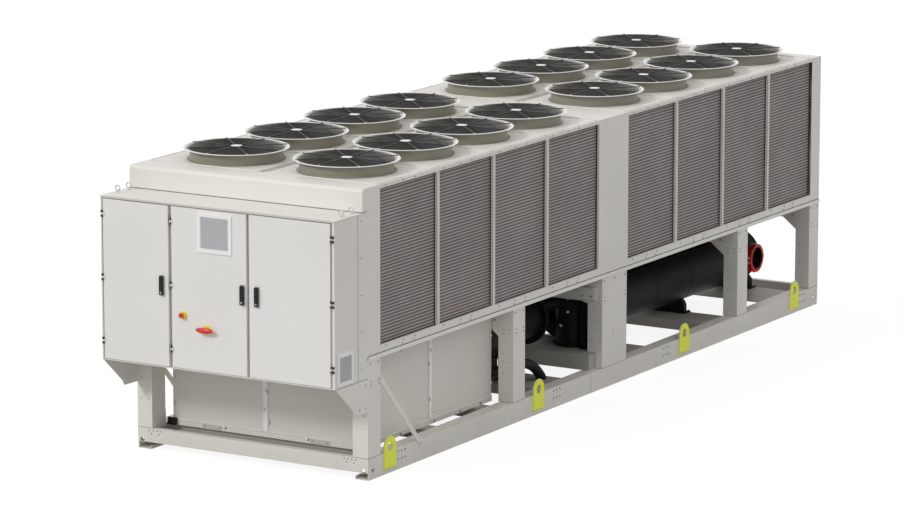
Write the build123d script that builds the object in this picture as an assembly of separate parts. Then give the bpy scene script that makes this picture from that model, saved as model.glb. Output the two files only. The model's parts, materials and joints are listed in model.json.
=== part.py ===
from build123d import *
import math
import os

os.makedirs("parts", exist_ok=True)

# Sizes are in millimetres. Lengths along Y count from the front face of the base.
unit_width = 2320
half_width = unit_width / 2
sheet = 4
plate = 8
seam = 0.3
overcut = 10

# Coil section, which sets the length of the unit
front_panel_length = 200
coil_bay_length = 3745
middle_panel_length = 550
rear_panel_length = 190
middle_start = front_panel_length + coil_bay_length
middle_end = middle_start + middle_panel_length
base_length = middle_end + coil_bay_length + rear_panel_length
deck_top = 2477
panel_fold = 100
sill_height = 67
head_strip_height = 33
panels_per_bay = 4
divider_width = 32
coil_recess = 25
coil_thickness = 60
fin_pitch = 28
fin_depth = 8

# Base frame
rail_height = 186
rail_flange = 130
rail_lip = 30
end_beam_sheet = 6
end_beam_bottom = 62
end_beam_flange = 58
handling_hole_d = 40
end_hole_inset = 45
side_hole_inset = 78
handling_hole_z = 80

# Lower frame
mid_level = 1055
mid_rail_height = 33
mid_rail_depth = 110
mid_rail_proud = 8
frame_top = mid_level - mid_rail_height
post_width = 150
post_sheet = 6
end_post_length = 200
narrow_post_length = 205
wide_post_length = 459
post_behind_enclosure = 13
wide_post_inset = 14
rear_bay_post_offset = 2200
cross_beam_height = 140
cross_beam_depth = 90
wide_beam_height = 227
wide_gusset_width = 60
wide_gusset_drop = 20
header_reach = 1100
header_depth = 40
header_bottom = 822
header_top = 930
gusset_width = 140
gusset_drop = 112
gusset_plate = 8
brace_width = 50
brace_plate = 6
brace_top = (200, 838)
brace_foot = (832, 160)

# Sound enclosure in the front bay
enclosure_half_width = 945
enclosure_front = 225
enclosure_rear = 2400
enclosure_bottom = 240
panel_thickness = 30
panel_gap = 8
enclosure_joint_y = 1358
strip_width = 62
strip_proud = 6

# Stations of the five pairs of posts
second_post = enclosure_rear + post_behind_enclosure
wide_post = middle_end - wide_post_inset - wide_post_length
fourth_post = middle_end + rear_bay_post_offset
post_spans = [
    (0, end_post_length),
    (second_post, second_post + narrow_post_length),
    (wide_post, wide_post + wide_post_length),
    (fourth_post, fourth_post + narrow_post_length),
    (base_length - end_post_length, base_length),
]

# Lifting lugs
lug_width = 185
lug_plate = 12
lug_bottom = 50
lug_top = 320
lug_hole_d = 75
front_lug_inset = 334
rear_lug_inset = 530
lug_behind_second_post = 437
lug_before_fourth_post = 1095
lug_centres = [
    front_lug_inset,
    second_post + lug_behind_second_post,
    fourth_post - lug_before_fourth_post,
    base_length - rear_lug_inset,
]

# Compressor, oil separator and piping
compressor_x = 514
compressor_z = 654
motor_radius = 240
casing_radius = 200
cover_radius = 208
cover_dome = 45
flange_radius = 268
flange_thickness = 36
motor_length = 450
casing_length = 514
compressor_end_before_beam = 110
terminal_box_size = (260, 220, 130)
terminal_box_offset = 90
leg_width = 80
leg_length = 300
leg_spacing = 260
leg_sink = 90
separator_x = 730
separator_radius = 160
separator_dome = 70
separator_height = 470
separator_inset = 376
gas_pipe_d = 110
gas_pipe_run = 130
gas_pipe_rise = 76
gas_pipe_shift = 30
gas_pipe_bend = 120
suction_shift = 84
suction_drop = 54
suction_bend = 200
drain_pipe_d = 90
drain_pipe_x = 890
drain_pipe_z = 400
drain_pipe_reach = 985
drain_route = [(-385, 400), (-132, 316), (-17, 221)]

# Beams across the base
enclosure_plate_pitch = 910
enclosure_plate_width = 160
enclosure_plate_count = 3
floor_plate_depth = 90
beam_ahead_of_post = 138
beam_seat_length = 560
beam_seat_front_reach = 1100
beam_seat_top = 330
beam_seat_y = wide_post - beam_ahead_of_post
compressor_plate_front = 3000
compressor_plate_length = 508
rail_seam_before_beam = 64

# Evaporator
evaporator_radius = 252
evaporator_x = 460
evaporator_z = 520
evaporator_gap_to_beam = 126
head_length = 110
head_step = 20
head_round = 60
evaporator_front = beam_seat_y + beam_seat_length + evaporator_gap_to_beam
evaporator_rear_inset = 415
evaporator_rear = base_length - evaporator_rear_inset
saddle_thickness = 60
saddle_half_width = 190
saddle_corner = 85
saddle_top = 330
front_saddle_offset = 300
middle_saddle_before_post = 95
rear_saddle_inset = 30
saddle_centres = [
    evaporator_front + front_saddle_offset,
    fourth_post - middle_saddle_before_post,
    evaporator_rear - rear_saddle_inset,
]
saddle_plate_margin = 50
saddle_plate_length = 420
rear_plate_length = 584
rear_plate_before_end = 430
nozzle_d = 219
nozzle_wall = 8
nozzle_stub = 70
nozzle_bottom = 6
nozzle_reach = evaporator_x + evaporator_radius + nozzle_stub
rear_nozzle_inset = 160
front_nozzle_inset = 170
coupling_d = 275
coupling_width = 66
coupling_wall_gap = 0.3
coupling_ear = 25
coupling_ear_height = 44
coupling_ear_inset = 10

# Fans
fan_row_spacing = 1108
fan_pitch = 950
fan_margin = 450
middle_fan_margin = 452
fans_per_row = 4
ring_radius = 400
ring_rim_radius = 455
ring_height = 102
ring_sheet = 4
ring_lip = 4
ring_rim_width = 16
tip_clearance = 14
blade_count = 5
fan_hub_radius = 120
fan_hub_height = 90
fan_hub_below_rim = 24
blade_thickness = 5
blade_camber = 16
blade_root_chord = 150
blade_tip_chord = 230
blade_root_sink = 11
blade_root_angle = 34
blade_tip_angle = 17
guard_disc_radius = 48
guard_disc_height = 8
guard_wire = 7
guard_spokes = 8
guard_wire_inset = 4
shaft_radius = 20
shaft_fit = 0.05
shaft_length = 60
fan_hub_top = deck_top + ring_height - fan_hub_below_rim

# Control cabinet
cabinet_front = -507
cabinet_bottom = 872
cabinet_top = 2281
cabinet_sheet = 3
roof_sheet = 4
roof_overhang = 6
side_joint_y = -150
strip_left = 12
strip_right = 26
strip_top = 12
strip_bottom = 6
door_thickness = 25
door_sheet = 2
door_fold = 20
seal_gap = 8
seal_sheet = 4
seal_overlap = 25
door_edge_left = 22
door_edge_right = 44
door_foot_gap = 13
door_head_gap = 25
left_door_width = 658
right_door_width = 790
left_door_gap = 33
right_door_gap = 29
left_door_start = -half_width + door_edge_left
right_door_end = half_width - door_edge_right
door_left_span = (left_door_start, left_door_start + left_door_width)
door_right_span = (right_door_end - right_door_width, right_door_end)
door_middle_span = (door_left_span[1] + left_door_gap, door_right_span[0] - right_door_gap)
door_bottom = cabinet_bottom + door_foot_gap
door_top = cabinet_top - door_head_gap
hinge_above_sill = 155
hinge_above_middle = 14.5
hinge_below_head = 128
hinge_heights = [
    door_bottom + hinge_above_sill,
    (door_bottom + door_top) / 2 + hinge_above_middle,
    door_top - hinge_below_head,
]
hinge_proud = 8
knuckle_radius = 7
knuckle_height = 18
knuckle_gap = 1
knuckle_reach = 14
hinge_pin_radius = 3
hinge_fit = 0.05
hinge_gap_left = 5
hinge_gap_middle = 6
hinge_gap_right = 10
hinge_ear_left_inset = 2
hinge_ear_right_inset = 6
hinge_ear_plate = 6
board_inset = 60
board_stud_radius = 8
hood_depth = 76
hood_above_cabinet = 5
hood_round = 30
hood_bottom = cabinet_top + hood_above_cabinet
bracket_foot_z = 585
bracket_foot_depth = 195
bracket_step = (30, 50)

# Door fittings
handle_height = 162
handle_width = 34
handle_depth = 16
handle_pad = 10
handle_round = 6
handle_pivot_radius = 9
handle_z = door_bottom + 689
handle_left_x = door_left_span[1] - 63
handle_middle_x = door_middle_span[1] - 36
handle_right_x = door_right_span[0] + 78
door_middle_centre = (door_middle_span[0] + door_middle_span[1]) / 2
vent_frame_width = 340
vent_frame_height = 334
vent_centre = (door_middle_centre + 62, door_top - 194)
vent_frame_border = 28
vent_round = 12
vent_proud = 10
vent_recess = 7
side_vent_width = 241
side_vent_height = 270
side_vent_inset = 33
side_vent_lift = 18
side_vent_border = 24
side_vent_recess = 6
estop_centre = (door_middle_span[0] + 115, door_bottom + 460)
estop_collar_radius = 32
estop_collar_height = 22
estop_head_radius = 21
estop_head_height = 20
estop_stem_radius = 10
estop_travel = 5
estop_clearance = 5
socket_floor = 2
isolator_centre = (door_middle_centre - 21, door_bottom + 358)
isolator_base_radius = 38
isolator_base_height = 18
isolator_spindle_radius = 12
isolator_floor = 4
isolator_length = 172
isolator_height = 46
isolator_stand_off = 24
isolator_grip = 28
isolator_round = 9

# Clearance between a curved piece and its seat
running_gap = 0.3

# Eyebolts on the cabinet roof
eyebolt_ring = 22
eyebolt_wire = 6
eyebolt_stem_radius = 9
eyebolt_stem = 20
eyebolt_sink = 6
eyebolt_inset = 50
eyebolts_behind_front = (182, 342)

# The origin is the middle of the outer box, at ground level.
handle_reach = isolator_base_height + isolator_stand_off + isolator_grip
front_limit = cabinet_front - handle_reach
origin_y = (front_limit + base_length) / 2


def block(x0, x1, y0, y1, z0, z1):
    size = Box(abs(x1 - x0), abs(y1 - y0), abs(z1 - z0))
    return Pos((x0 + x1) / 2, (y0 + y1) / 2, (z0 + z1) / 2) * size


def mirrored(shapes):
    return shapes + [mirror(shape, about=Plane.YZ) for shape in shapes]


def cylinder_along(axis, radius, start, end, a, b):
    """A round bar along X, Y or Z between two stations, through the point a, b."""
    length = end - start
    middle = (start + end) / 2
    if axis == "X":
        return Pos(middle, a, b) * Rot(0, 90, 0) * Cylinder(radius, length)
    if axis == "Y":
        return Pos(a, middle, b) * Rot(90, 0, 0) * Cylinder(radius, length)
    return Pos(a, b, middle) * Cylinder(radius, length)


def turned_along_y(outline, x, z):
    """A half outline of (radius, y) points, turned about a level axis through x, z."""
    face = make_face(Polyline([Vector(radius, y, 0) for radius, y in outline], close=True))
    return Pos(x, 0, z) * revolve(face, Axis.Y, 360)


def turned_about_z(outline):
    """A half outline of (radius, z) points, turned about the upright axis."""
    face = make_face(Polyline([Vector(radius, 0, z) for radius, z in outline], close=True))
    return revolve(face, Axis.Z, 360)


def profile_along_y(points, y0, y1):
    """A closed outline of (x, z) points, pushed from y0 to y1."""
    face = make_face(Polyline([Vector(x, y1, z) for x, z in points], close=True))
    return extrude(face, amount=y1 - y0, dir=(0, -1, 0))


def profile_along_x(points, x0, x1):
    """A closed outline of (y, z) points, pushed from x0 to x1."""
    face = make_face(Polyline([Vector(x0, y, z) for y, z in points], close=True))
    return extrude(face, amount=x1 - x0, dir=(1, 0, 0))


def profile_upwards(points, z0, z1):
    """A closed outline of (x, y) points, pushed from z0 to z1."""
    face = make_face(Polyline([Vector(x, y, z0) for x, y in points], close=True))
    return extrude(face, amount=z1 - z0, dir=(0, 0, 1))


def save(name, shapes):
    solids = []
    for shape in shapes:
        solids += (Pos(0, -origin_y, 0) * shape).solids()
    whole = solids[0] if len(solids) == 1 else Compound(solids)
    whole.label = name
    export_step(whole, f"parts/{name}.step")


# Base frame
def rail_outline():
    inner = half_width - rail_flange
    return [
        (half_width, 0),
        (half_width, rail_height),
        (inner, rail_height),
        (inner, rail_height - rail_lip),
        (inner + plate, rail_height - rail_lip),
        (inner + plate, rail_height - plate),
        (half_width - plate, rail_height - plate),
        (half_width - plate, plate),
        (inner + plate, plate),
        (inner + plate, rail_lip),
        (inner, rail_lip),
        (inner, 0),
    ]


def base_rails():
    """C-section rails in two lengths, with a hole near each end."""
    joint = beam_seat_y - rail_seam_before_beam
    pieces = []
    for y0, y1, hole_y in (
        (end_beam_sheet, joint, side_hole_inset),
        (joint + seam, base_length - end_beam_sheet, base_length - side_hole_inset),
    ):
        reach = (half_width - 2 * plate, half_width + overcut)
        hole = cylinder_along("X", handling_hole_d / 2, *reach, hole_y, handling_hole_z)
        pieces.append(profile_along_y(rail_outline(), y0, y1) - hole)
    return mirrored(pieces)


def end_beam():
    web = block(-half_width, half_width, 0, end_beam_sheet, end_beam_bottom, rail_height)
    reach = half_width - rail_flange
    for z0 in (end_beam_bottom, rail_height - end_beam_sheet):
        web += block(-reach, reach, end_beam_sheet, end_beam_flange, z0, z0 + end_beam_sheet)
    for side in (-1, 1):
        x = side * (half_width - end_hole_inset)
        web -= cylinder_along("Y", handling_hole_d / 2, -overcut, overcut, x, handling_hole_z)
    return web


def base_end_beams():
    front = end_beam()
    rear = Pos(0, base_length, 0) * mirror(end_beam(), about=Plane.XZ)
    return [front, rear]


def floor_channel(y0, y1):
    """An upside-down channel between the rails, flush with their tops."""
    reach = half_width - rail_flange
    bottom = rail_height - floor_plate_depth
    outer = block(-reach, reach, y0, y1, bottom, rail_height)
    inner = block(-reach, reach, y0 + plate, y1 - plate, bottom, rail_height - plate)
    return outer - inner


def floor_beams():
    """Channels under the enclosure, the machines and the saddles, a flat plate and the raised beam."""
    pieces = []
    for index in range(enclosure_plate_count):
        y0 = enclosure_front + panel_thickness + seam + enclosure_plate_pitch * index
        pieces.append(floor_channel(y0, y0 + enclosure_plate_width))
    pieces.append(floor_channel(compressor_plate_front, compressor_plate_front + compressor_plate_length))
    first, second, third = saddle_centres
    pieces.append(floor_channel(first - saddle_plate_length / 2, first + saddle_plate_length / 2))
    second_rear = second + saddle_plate_margin
    pieces.append(floor_channel(second_rear - saddle_plate_length, second_rear))
    pieces.append(floor_channel(third - saddle_plate_margin, third + saddle_plate_margin))
    reach = half_width - rail_flange
    plate_rear = base_length - rear_plate_before_end
    flat_rear = min(plate_rear, third - saddle_plate_margin) - seam
    flat_front = plate_rear - rear_plate_length
    pieces.append(block(-reach, reach, flat_front, flat_rear, rail_height - plate, rail_height))
    return pieces + [seat_beam()]


def seat_beam():
    """The raised beam in front of the evaporator: wide ahead of the posts, then fitted between them."""
    reach = half_width - post_width
    y0, y1 = beam_seat_y, beam_seat_y + beam_seat_length
    z0, z1 = rail_height, beam_seat_top
    outer = block(-reach, reach, y0, y1, z0, z1)
    outer += block(-beam_seat_front_reach, beam_seat_front_reach, y0, wide_post, z0, z1)
    inner = block(-reach, reach, y0 + plate, y1 - plate, z0, z1 - plate)
    return outer - inner


def lifting_lugs():
    pieces = []
    radius = lug_width / 2
    centre_z = lug_top - radius
    outer = half_width + lug_plate
    for y in lug_centres:
        flat = block(half_width, outer, y - radius, y + radius, lug_bottom, centre_z)
        round_top = cylinder_along("X", radius, half_width, outer, y, centre_z)
        hole = cylinder_along("X", lug_hole_d / 2, half_width - overcut, outer + overcut, y, centre_z)
        pieces.append(flat + round_top - hole)
    return mirrored(pieces)


# Lower frame
def posts():
    pieces = []
    for y0, y1 in post_spans:
        x0, x1 = half_width - post_width, half_width
        outer = block(x0, x1, y0, y1, rail_height, frame_top)
        inner = block(
            x0 + post_sheet, x1 - post_sheet, y0 + post_sheet, y1 - post_sheet, rail_height, frame_top
        )
        pieces.append(outer - inner)
    return mirrored(pieces)


def beam_sizes(index):
    """Height of a cross beam, and the width and drop of its gussets; the one at the wide posts is deeper."""
    if post_spans[index][0] == wide_post:
        return wide_beam_height, wide_gusset_width, wide_gusset_drop
    return cross_beam_height, gusset_width, gusset_drop


def cross_beams():
    """Channels between the front edges of each pair of posts, and the header bolted to the wide posts."""
    pieces = []
    reach = half_width - post_width
    for index, (start, _) in enumerate(post_spans):
        bottom = frame_top - beam_sizes(index)[0]
        outer = block(-reach, reach, start, start + cross_beam_depth, bottom, frame_top)
        hollow = (bottom + post_sheet, frame_top - post_sheet)
        inner = block(-reach, reach, start + post_sheet, start + cross_beam_depth, *hollow)
        pieces.append(outer - inner)
    front = wide_post - header_depth
    header = block(-header_reach, header_reach, front, wide_post, header_bottom, header_top)
    inner = (front + post_sheet, wide_post - post_sheet, header_bottom - overcut, header_top - post_sheet)
    header -= block(-header_reach, header_reach, *inner)
    return pieces + [header]


def corner_gussets():
    pieces = []
    reach = half_width - post_width
    for index, (start, _) in enumerate(post_spans):
        height, width, drop = beam_sizes(index)
        bottom = frame_top - height
        triangle = [(reach, bottom), (reach - width, bottom), (reach, bottom - drop)]
        pieces.append(profile_along_y(triangle, start, start + gusset_plate))
    return mirrored(pieces)


def mid_rails():
    """The light channel all round the top of the lower frame."""
    top, bottom = mid_level, frame_top
    outer_x = half_width + mid_rail_proud
    inner_x = outer_x - mid_rail_depth
    outline = [
        (outer_x, bottom),
        (outer_x, top),
        (inner_x, top),
        (inner_x, top - sheet),
        (outer_x - sheet, top - sheet),
        (outer_x - sheet, bottom + sheet),
        (inner_x, bottom + sheet),
        (inner_x, bottom),
    ]
    side = profile_along_y(outline, 0, base_length)
    reach = inner_x - seam
    ends = [
        block(-reach, reach, 0, mid_rail_depth, bottom, top),
        block(-reach, reach, base_length - mid_rail_depth, base_length, bottom, top),
    ]
    return mirrored([side]) + ends


def mid_deck():
    """The floor of the coil section, which closes off the lower frame."""
    reach = half_width - mid_rail_depth + mid_rail_proud
    return [block(-reach, reach, mid_rail_depth, base_length - mid_rail_depth, frame_top, mid_level)]


def diagonal_braces():
    (y0, z0), (y1, z1) = brace_top, brace_foot
    length = math.hypot(y1 - y0, z1 - z0) + brace_width
    angle = math.degrees(math.atan2(z1 - z0, y1 - y0))
    bar = Box(brace_plate, length, brace_width)
    place = Pos(half_width + brace_plate / 2, (y0 + y1) / 2, (z0 + z1) / 2)
    return mirrored([place * Rot(angle, 0, 0) * bar])


# Sound enclosure
def enclosure_panels():
    inner = enclosure_half_width - panel_thickness
    half_gap = panel_gap / 2
    outer = enclosure_half_width
    y_front = enclosure_front + panel_thickness
    y_rear = enclosure_rear - panel_thickness
    levels = (enclosure_bottom, frame_top)
    front = block(half_gap, outer, enclosure_front, y_front, *levels)
    side_front = block(inner, outer, y_front + seam, enclosure_joint_y - half_gap, *levels)
    side_rear = block(inner, outer, enclosure_joint_y + half_gap, y_rear - seam, *levels)
    rear = block(half_gap, outer, y_rear, enclosure_rear, *levels)
    return mirrored([front, side_front, side_rear, rear])


def enclosure_frame():
    """Cover strips on the panel joints and the sill channels under the panels."""
    outer = enclosure_half_width
    side_x = outer + strip_proud
    half_strip = strip_width / 2
    strip_z = (enclosure_bottom + seam, frame_top)
    front_strip = block(-half_strip, half_strip, enclosure_front - strip_proud, enclosure_front, *strip_z)
    strip_y = (enclosure_joint_y - half_strip, enclosure_joint_y + half_strip)
    side_strip = block(outer, side_x, *strip_y, *strip_z)
    inner = outer - panel_thickness
    sill_z = (rail_height, enclosure_bottom)
    side_sill = block(inner, side_x, enclosure_front, enclosure_rear, *sill_z)
    reach = inner - seam
    front_sill = block(-reach, reach, enclosure_front, enclosure_front + panel_thickness, *sill_z)
    rear_sill = block(-reach, reach, enclosure_rear - panel_thickness, enclosure_rear, *sill_z)
    return [front_strip, front_sill, rear_sill] + mirrored([side_strip, side_sill])


# Compressor, oil separator and pipes
def compressor_end():
    return beam_seat_y - compressor_end_before_beam


def compressor_body():
    """Motor, rotor casing and end cover turned in one outline, with flanges, a terminal box and legs."""
    end = compressor_end()
    cover_start = end - cover_dome
    casing_end = cover_start - flange_thickness
    casing_start = casing_end - casing_length
    motor_end = casing_start - flange_thickness
    motor_start = motor_end - motor_length
    outline = [
        (0, motor_start),
        (motor_radius - cover_dome, motor_start),
        (motor_radius, motor_start + cover_dome),
        (motor_radius, motor_end),
        (flange_radius, motor_end),
        (flange_radius, casing_start),
        (casing_radius, casing_start),
        (casing_radius, casing_end),
        (cover_radius + cover_dome, casing_end),
        (cover_radius + cover_dome, cover_start),
        (cover_radius, cover_start),
        (cover_radius - cover_dome / 2, end),
        (0, end),
    ]
    body = turned_along_y(outline, compressor_x, compressor_z)
    box_x, box_y, box_z = terminal_box_size
    box_front = motor_start + terminal_box_offset
    body += block(
        compressor_x - box_x / 2,
        compressor_x + box_x / 2,
        box_front,
        box_front + box_y,
        compressor_z,
        compressor_z + motor_radius + box_z / 2,
    )
    leg_front = compressor_plate_front + (compressor_plate_length - leg_length) / 2
    leg_box = (leg_front, leg_front + leg_length, rail_height, compressor_z - casing_radius + leg_sink)
    for side in (-1, 1):
        x = compressor_x + side * leg_spacing / 2
        body += block(x - leg_width / 2, x + leg_width / 2, *leg_box)
    return body


def separator_centre():
    return (separator_x, beam_seat_y + separator_inset)


def separator():
    """An upright vessel with a domed top, on the raised beam."""
    z0 = beam_seat_top
    z1 = z0 + separator_height
    x, y = separator_centre()
    shell = Pos(x, y, (z0 + z1) / 2) * Cylinder(separator_radius, z1 - z0)
    return fillet(shell.edges().filter_by(GeomType.CIRCLE).sort_by(Axis.Z)[-1], separator_dome)


def compressor():
    return [compressor_body(), separator()]


def bent_pipe(points, diameter, bend_radius):
    path = FilletPolyline(*points, radius=bend_radius)
    return sweep(Plane(path @ 0, z_dir=path % 0) * Circle(diameter / 2), path=path)


def refrigerant_pipes():
    """Gas pipe to the separator, suction line from the evaporator, and the drain pipe near the floor."""
    start = compressor_end()
    gas_x = compressor_x + gas_pipe_shift
    gas_z = compressor_z + gas_pipe_rise
    vessel_x, vessel_y = separator_centre()
    gas = bent_pipe(
        [(gas_x, start, gas_z), (gas_x, start + gas_pipe_run, gas_z), (vessel_x, vessel_y, gas_z)],
        gas_pipe_d,
        gas_pipe_bend,
    )
    vessel = cylinder_along("Z", separator_radius + running_gap, beam_seat_top, deck_top, vessel_x, vessel_y)
    end = evaporator_front - head_length
    third = (end - start) / 3
    from_x, from_z = compressor_x - suction_shift, compressor_z - suction_drop
    to_x, to_z = evaporator_x - suction_shift, evaporator_z - suction_drop / 2
    route = [(from_x, start, from_z), (from_x, start + third, from_z)]
    route += [(to_x, end - third, to_z), (to_x, end, to_z)]
    suction = bent_pipe(route, gas_pipe_d, suction_bend)
    drain_y = enclosure_rear + drain_pipe_reach
    stations = [(enclosure_rear, drain_pipe_z)]
    stations += [(drain_y + back, z) for back, z in drain_route]
    stations.append((drain_y, rail_height))
    route = Spline([(drain_pipe_x, y, z) for y, z in stations], tangents=[(0, 1, 0), (0, 0, -1)])
    drain = sweep(Plane(route @ 0, z_dir=route % 0) * Circle(drain_pipe_d / 2), path=route)
    return [gas - vessel, suction, drain]


# Evaporator
def evaporator_shell():
    return [
        cylinder_along("Y", evaporator_radius, evaporator_front, evaporator_rear, evaporator_x, evaporator_z)
    ]


def evaporator_heads():
    """Closed end covers with a sloped edge."""
    radius = evaporator_radius - head_step
    heads = []
    for seat, direction in ((evaporator_front, -1), (evaporator_rear, 1)):
        outline = [
            (0, seat),
            (radius, seat),
            (radius, seat + direction * (head_length - head_round)),
            (radius - head_round / 2, seat + direction * head_length),
            (0, seat + direction * head_length),
        ]
        heads.append(turned_along_y(outline, evaporator_x, evaporator_z))
    return heads


def evaporator_saddles():
    """Plates on the floor beams, with rounded top corners, hollowed to the shell."""
    pieces = []
    bore_radius = evaporator_radius + running_gap
    x0 = evaporator_x - saddle_half_width
    x1 = evaporator_x + saddle_half_width
    for y in saddle_centres:
        y0, y1 = y - saddle_thickness / 2, y + saddle_thickness / 2
        saddle = block(x0, x1, y0, y1, rail_height, saddle_top)
        corners = saddle.edges().filter_by(Axis.Y).group_by(Axis.Z)[-1]
        saddle = fillet(corners, saddle_corner)
        shell = cylinder_along("Y", bore_radius, y0 - overcut, y1 + overcut, evaporator_x, evaporator_z)
        pieces.append(saddle - shell)
    return pieces


def nozzle_stations():
    return (evaporator_rear - rear_nozzle_inset, evaporator_front + front_nozzle_inset)


def water_nozzles():
    """Short pipes out of the shell, one near each end."""
    pieces = []
    shell_radius = evaporator_radius + running_gap
    bore_start = evaporator_x + evaporator_radius + nozzle_bottom
    for y in nozzle_stations():
        pipe = cylinder_along("X", nozzle_d / 2, evaporator_x, nozzle_reach, y, evaporator_z)
        bore = cylinder_along("X", nozzle_d / 2 - nozzle_wall, bore_start, nozzle_reach, y, evaporator_z)
        shell = cylinder_along(
            "Y", shell_radius, evaporator_front, evaporator_rear + overcut, evaporator_x, evaporator_z
        )
        pieces.append(pipe - bore - shell)
    return pieces


def pipe_couplings():
    """Clamp rings with two bolted ears, flush with the pipe ends."""
    pieces = []
    inner = nozzle_d / 2 + coupling_wall_gap
    low, high = nozzle_reach - coupling_width, nozzle_reach
    ear_reach = coupling_d / 2 + coupling_ear
    z0 = evaporator_z - coupling_ear_height / 2
    z1 = evaporator_z + coupling_ear_height / 2
    for y in nozzle_stations():
        ring = cylinder_along("X", coupling_d / 2, low, high, y, evaporator_z)
        ear_x = (low + coupling_ear_inset, high - coupling_ear_inset)
        ears = block(*ear_x, y - ear_reach, y + ear_reach, z0, z1)
        hole = cylinder_along("X", inner, low - overcut, high + overcut, y, evaporator_z)
        pieces.append(ring + ears - hole)
    return pieces


# Coil section
def bay_starts():
    return [front_panel_length, middle_end]


def side_panels():
    outer = half_width
    corner = outer - post_width
    rear_start = base_length - rear_panel_length
    front = [
        (outer, 0),
        (outer, front_panel_length),
        (outer - sheet, front_panel_length),
        (outer - sheet, sheet),
        (corner, sheet),
        (corner, 0),
    ]
    middle = [
        (outer, middle_start),
        (outer, middle_end),
        (outer - panel_fold, middle_end),
        (outer - panel_fold, middle_end - sheet),
        (outer - sheet, middle_end - sheet),
        (outer - sheet, middle_start + sheet),
        (outer - panel_fold, middle_start + sheet),
        (outer - panel_fold, middle_start),
    ]
    rear = [
        (outer, base_length),
        (outer, rear_start),
        (outer - sheet, rear_start),
        (outer - sheet, base_length - sheet),
        (corner, base_length - sheet),
        (corner, base_length),
    ]
    levels = (mid_level, deck_top - sheet)
    return mirrored([profile_upwards(outline, *levels) for outline in (front, middle, rear)])


def coil_strips():
    """Sill and head strips of each coil bay."""
    pieces = []
    top = deck_top - sheet
    x0, x1 = half_width - coil_recess, half_width
    for y0 in bay_starts():
        y1 = y0 + coil_bay_length
        pieces.append(block(x0, x1, y0, y1, mid_level, mid_level + sill_height))
        pieces.append(block(x0, x1, y0, y1, deck_top - head_strip_height, top))
    return mirrored(pieces)


def coil_dividers():
    pieces = []
    x0, x1 = half_width - coil_recess, half_width
    z0 = mid_level + sill_height + seam
    z1 = deck_top - head_strip_height - seam
    half = divider_width / 2
    for start in bay_starts():
        for index in range(1, panels_per_bay):
            y = start + coil_bay_length * index / panels_per_bay
            pieces.append(block(x0, x1, y - half, y + half, z0, z1))
    return mirrored(pieces)


def coil_outline():
    """A slab whose outer face is folded into level fins."""
    face_x = half_width - coil_recess
    back_x = face_x - coil_thickness
    root_x = face_x - fin_depth
    z0, z1 = mid_level, deck_top - sheet
    count = int((z1 - z0 - 1) // fin_pitch)
    low = z0 + (z1 - z0 - count * fin_pitch) / 2
    points = [(back_x, z0), (root_x, z0)]
    for index in range(count):
        points.append((root_x, low + index * fin_pitch))
        points.append((face_x, low + (index + 0.5) * fin_pitch))
    points.append((root_x, low + count * fin_pitch))
    points.append((root_x, z1))
    points.append((back_x, z1))
    return points


def condenser_coils():
    outline = coil_outline()
    return mirrored([profile_along_y(outline, y0, y0 + coil_bay_length) for y0 in bay_starts()])


def end_walls():
    reach = half_width - post_width
    levels = (mid_level, deck_top - sheet)
    front = block(-reach, reach, 0, sheet, *levels)
    rear = block(-reach, reach, base_length - sheet, base_length, *levels)
    return [front, rear]


# Fans
def fan_stations():
    stations = []
    for start in (front_panel_length + fan_margin, middle_end + middle_fan_margin):
        for side in (-1, 1):
            for index in range(fans_per_row):
                stations.append((side * fan_row_spacing / 2, start + fan_pitch * index))
    return stations


def fan_deck():
    middle = (middle_start + middle_end) / 2
    z0, z1 = deck_top - sheet, deck_top
    front = block(-half_width, half_width, 0, middle - seam, z0, z1)
    rear = block(-half_width, half_width, middle, base_length, z0, z1)
    for x, y in fan_stations():
        hole = Pos(x, y, deck_top) * Cylinder(ring_radius - ring_sheet, 4 * sheet)
        if y < middle:
            front -= hole
        else:
            rear -= hole
    return [front, rear]


def fan_ring():
    """A spun inlet ring: a straight throat that opens in a quarter round to a lipped rim."""
    inner = ring_radius - ring_sheet
    lip_start = ring_rim_radius - ring_rim_width
    flare = lip_start - inner
    round_start = ring_height - flare
    under = ring_height - ring_lip
    corner = math.sin(math.radians(45))
    outer = ring_radius
    throat = Polyline((inner, 0, round_start), (inner, 0, 0), (outer, 0, 0), (outer, 0, round_start))
    outside = ThreePointArc(
        (outer, 0, round_start),
        (lip_start - (flare - ring_sheet) * corner, 0, round_start + (flare - ring_lip) * corner),
        (lip_start, 0, under),
    )
    top, rim_edge = ring_height, ring_rim_radius
    rim = Polyline((lip_start, 0, under), (rim_edge, 0, under), (rim_edge, 0, top), (lip_start, 0, top))
    inside = ThreePointArc(
        (lip_start, 0, top),
        (lip_start - flare * corner, 0, round_start + flare * corner),
        (inner, 0, round_start),
    )
    return revolve(make_face([throat, outside, rim, inside]), Axis.Z, 360)


def fan_rings():
    ring = fan_ring()
    return [Pos(x, y, deck_top) * ring for x, y in fan_stations()]


def fan_guard():
    """Hub disc, its shaft down into the rotor, and the spokes out to the ring's rim."""
    z = ring_height
    disc = Pos(0, 0, z + guard_disc_height / 2) * Cylinder(guard_disc_radius, guard_disc_height)
    shaft_bottom = fan_hub_top - deck_top - shaft_length
    shaft = Pos(0, 0, (z + shaft_bottom) / 2) * Cylinder(shaft_radius, z - shaft_bottom)
    guard = disc + shaft
    reach = ring_rim_radius - guard_wire_inset
    middle = (reach + shaft_radius) / 2
    bar = Pos(middle, 0, z + guard_wire / 2) * Box(reach - shaft_radius, guard_wire, guard_wire)
    for index in range(guard_spokes):
        guard += Rot(0, 0, 360 * index / guard_spokes) * bar
    return guard


def fan_guards():
    guard = fan_guard()
    return [Pos(x, y, deck_top) * guard for x, y in fan_stations()]


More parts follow.
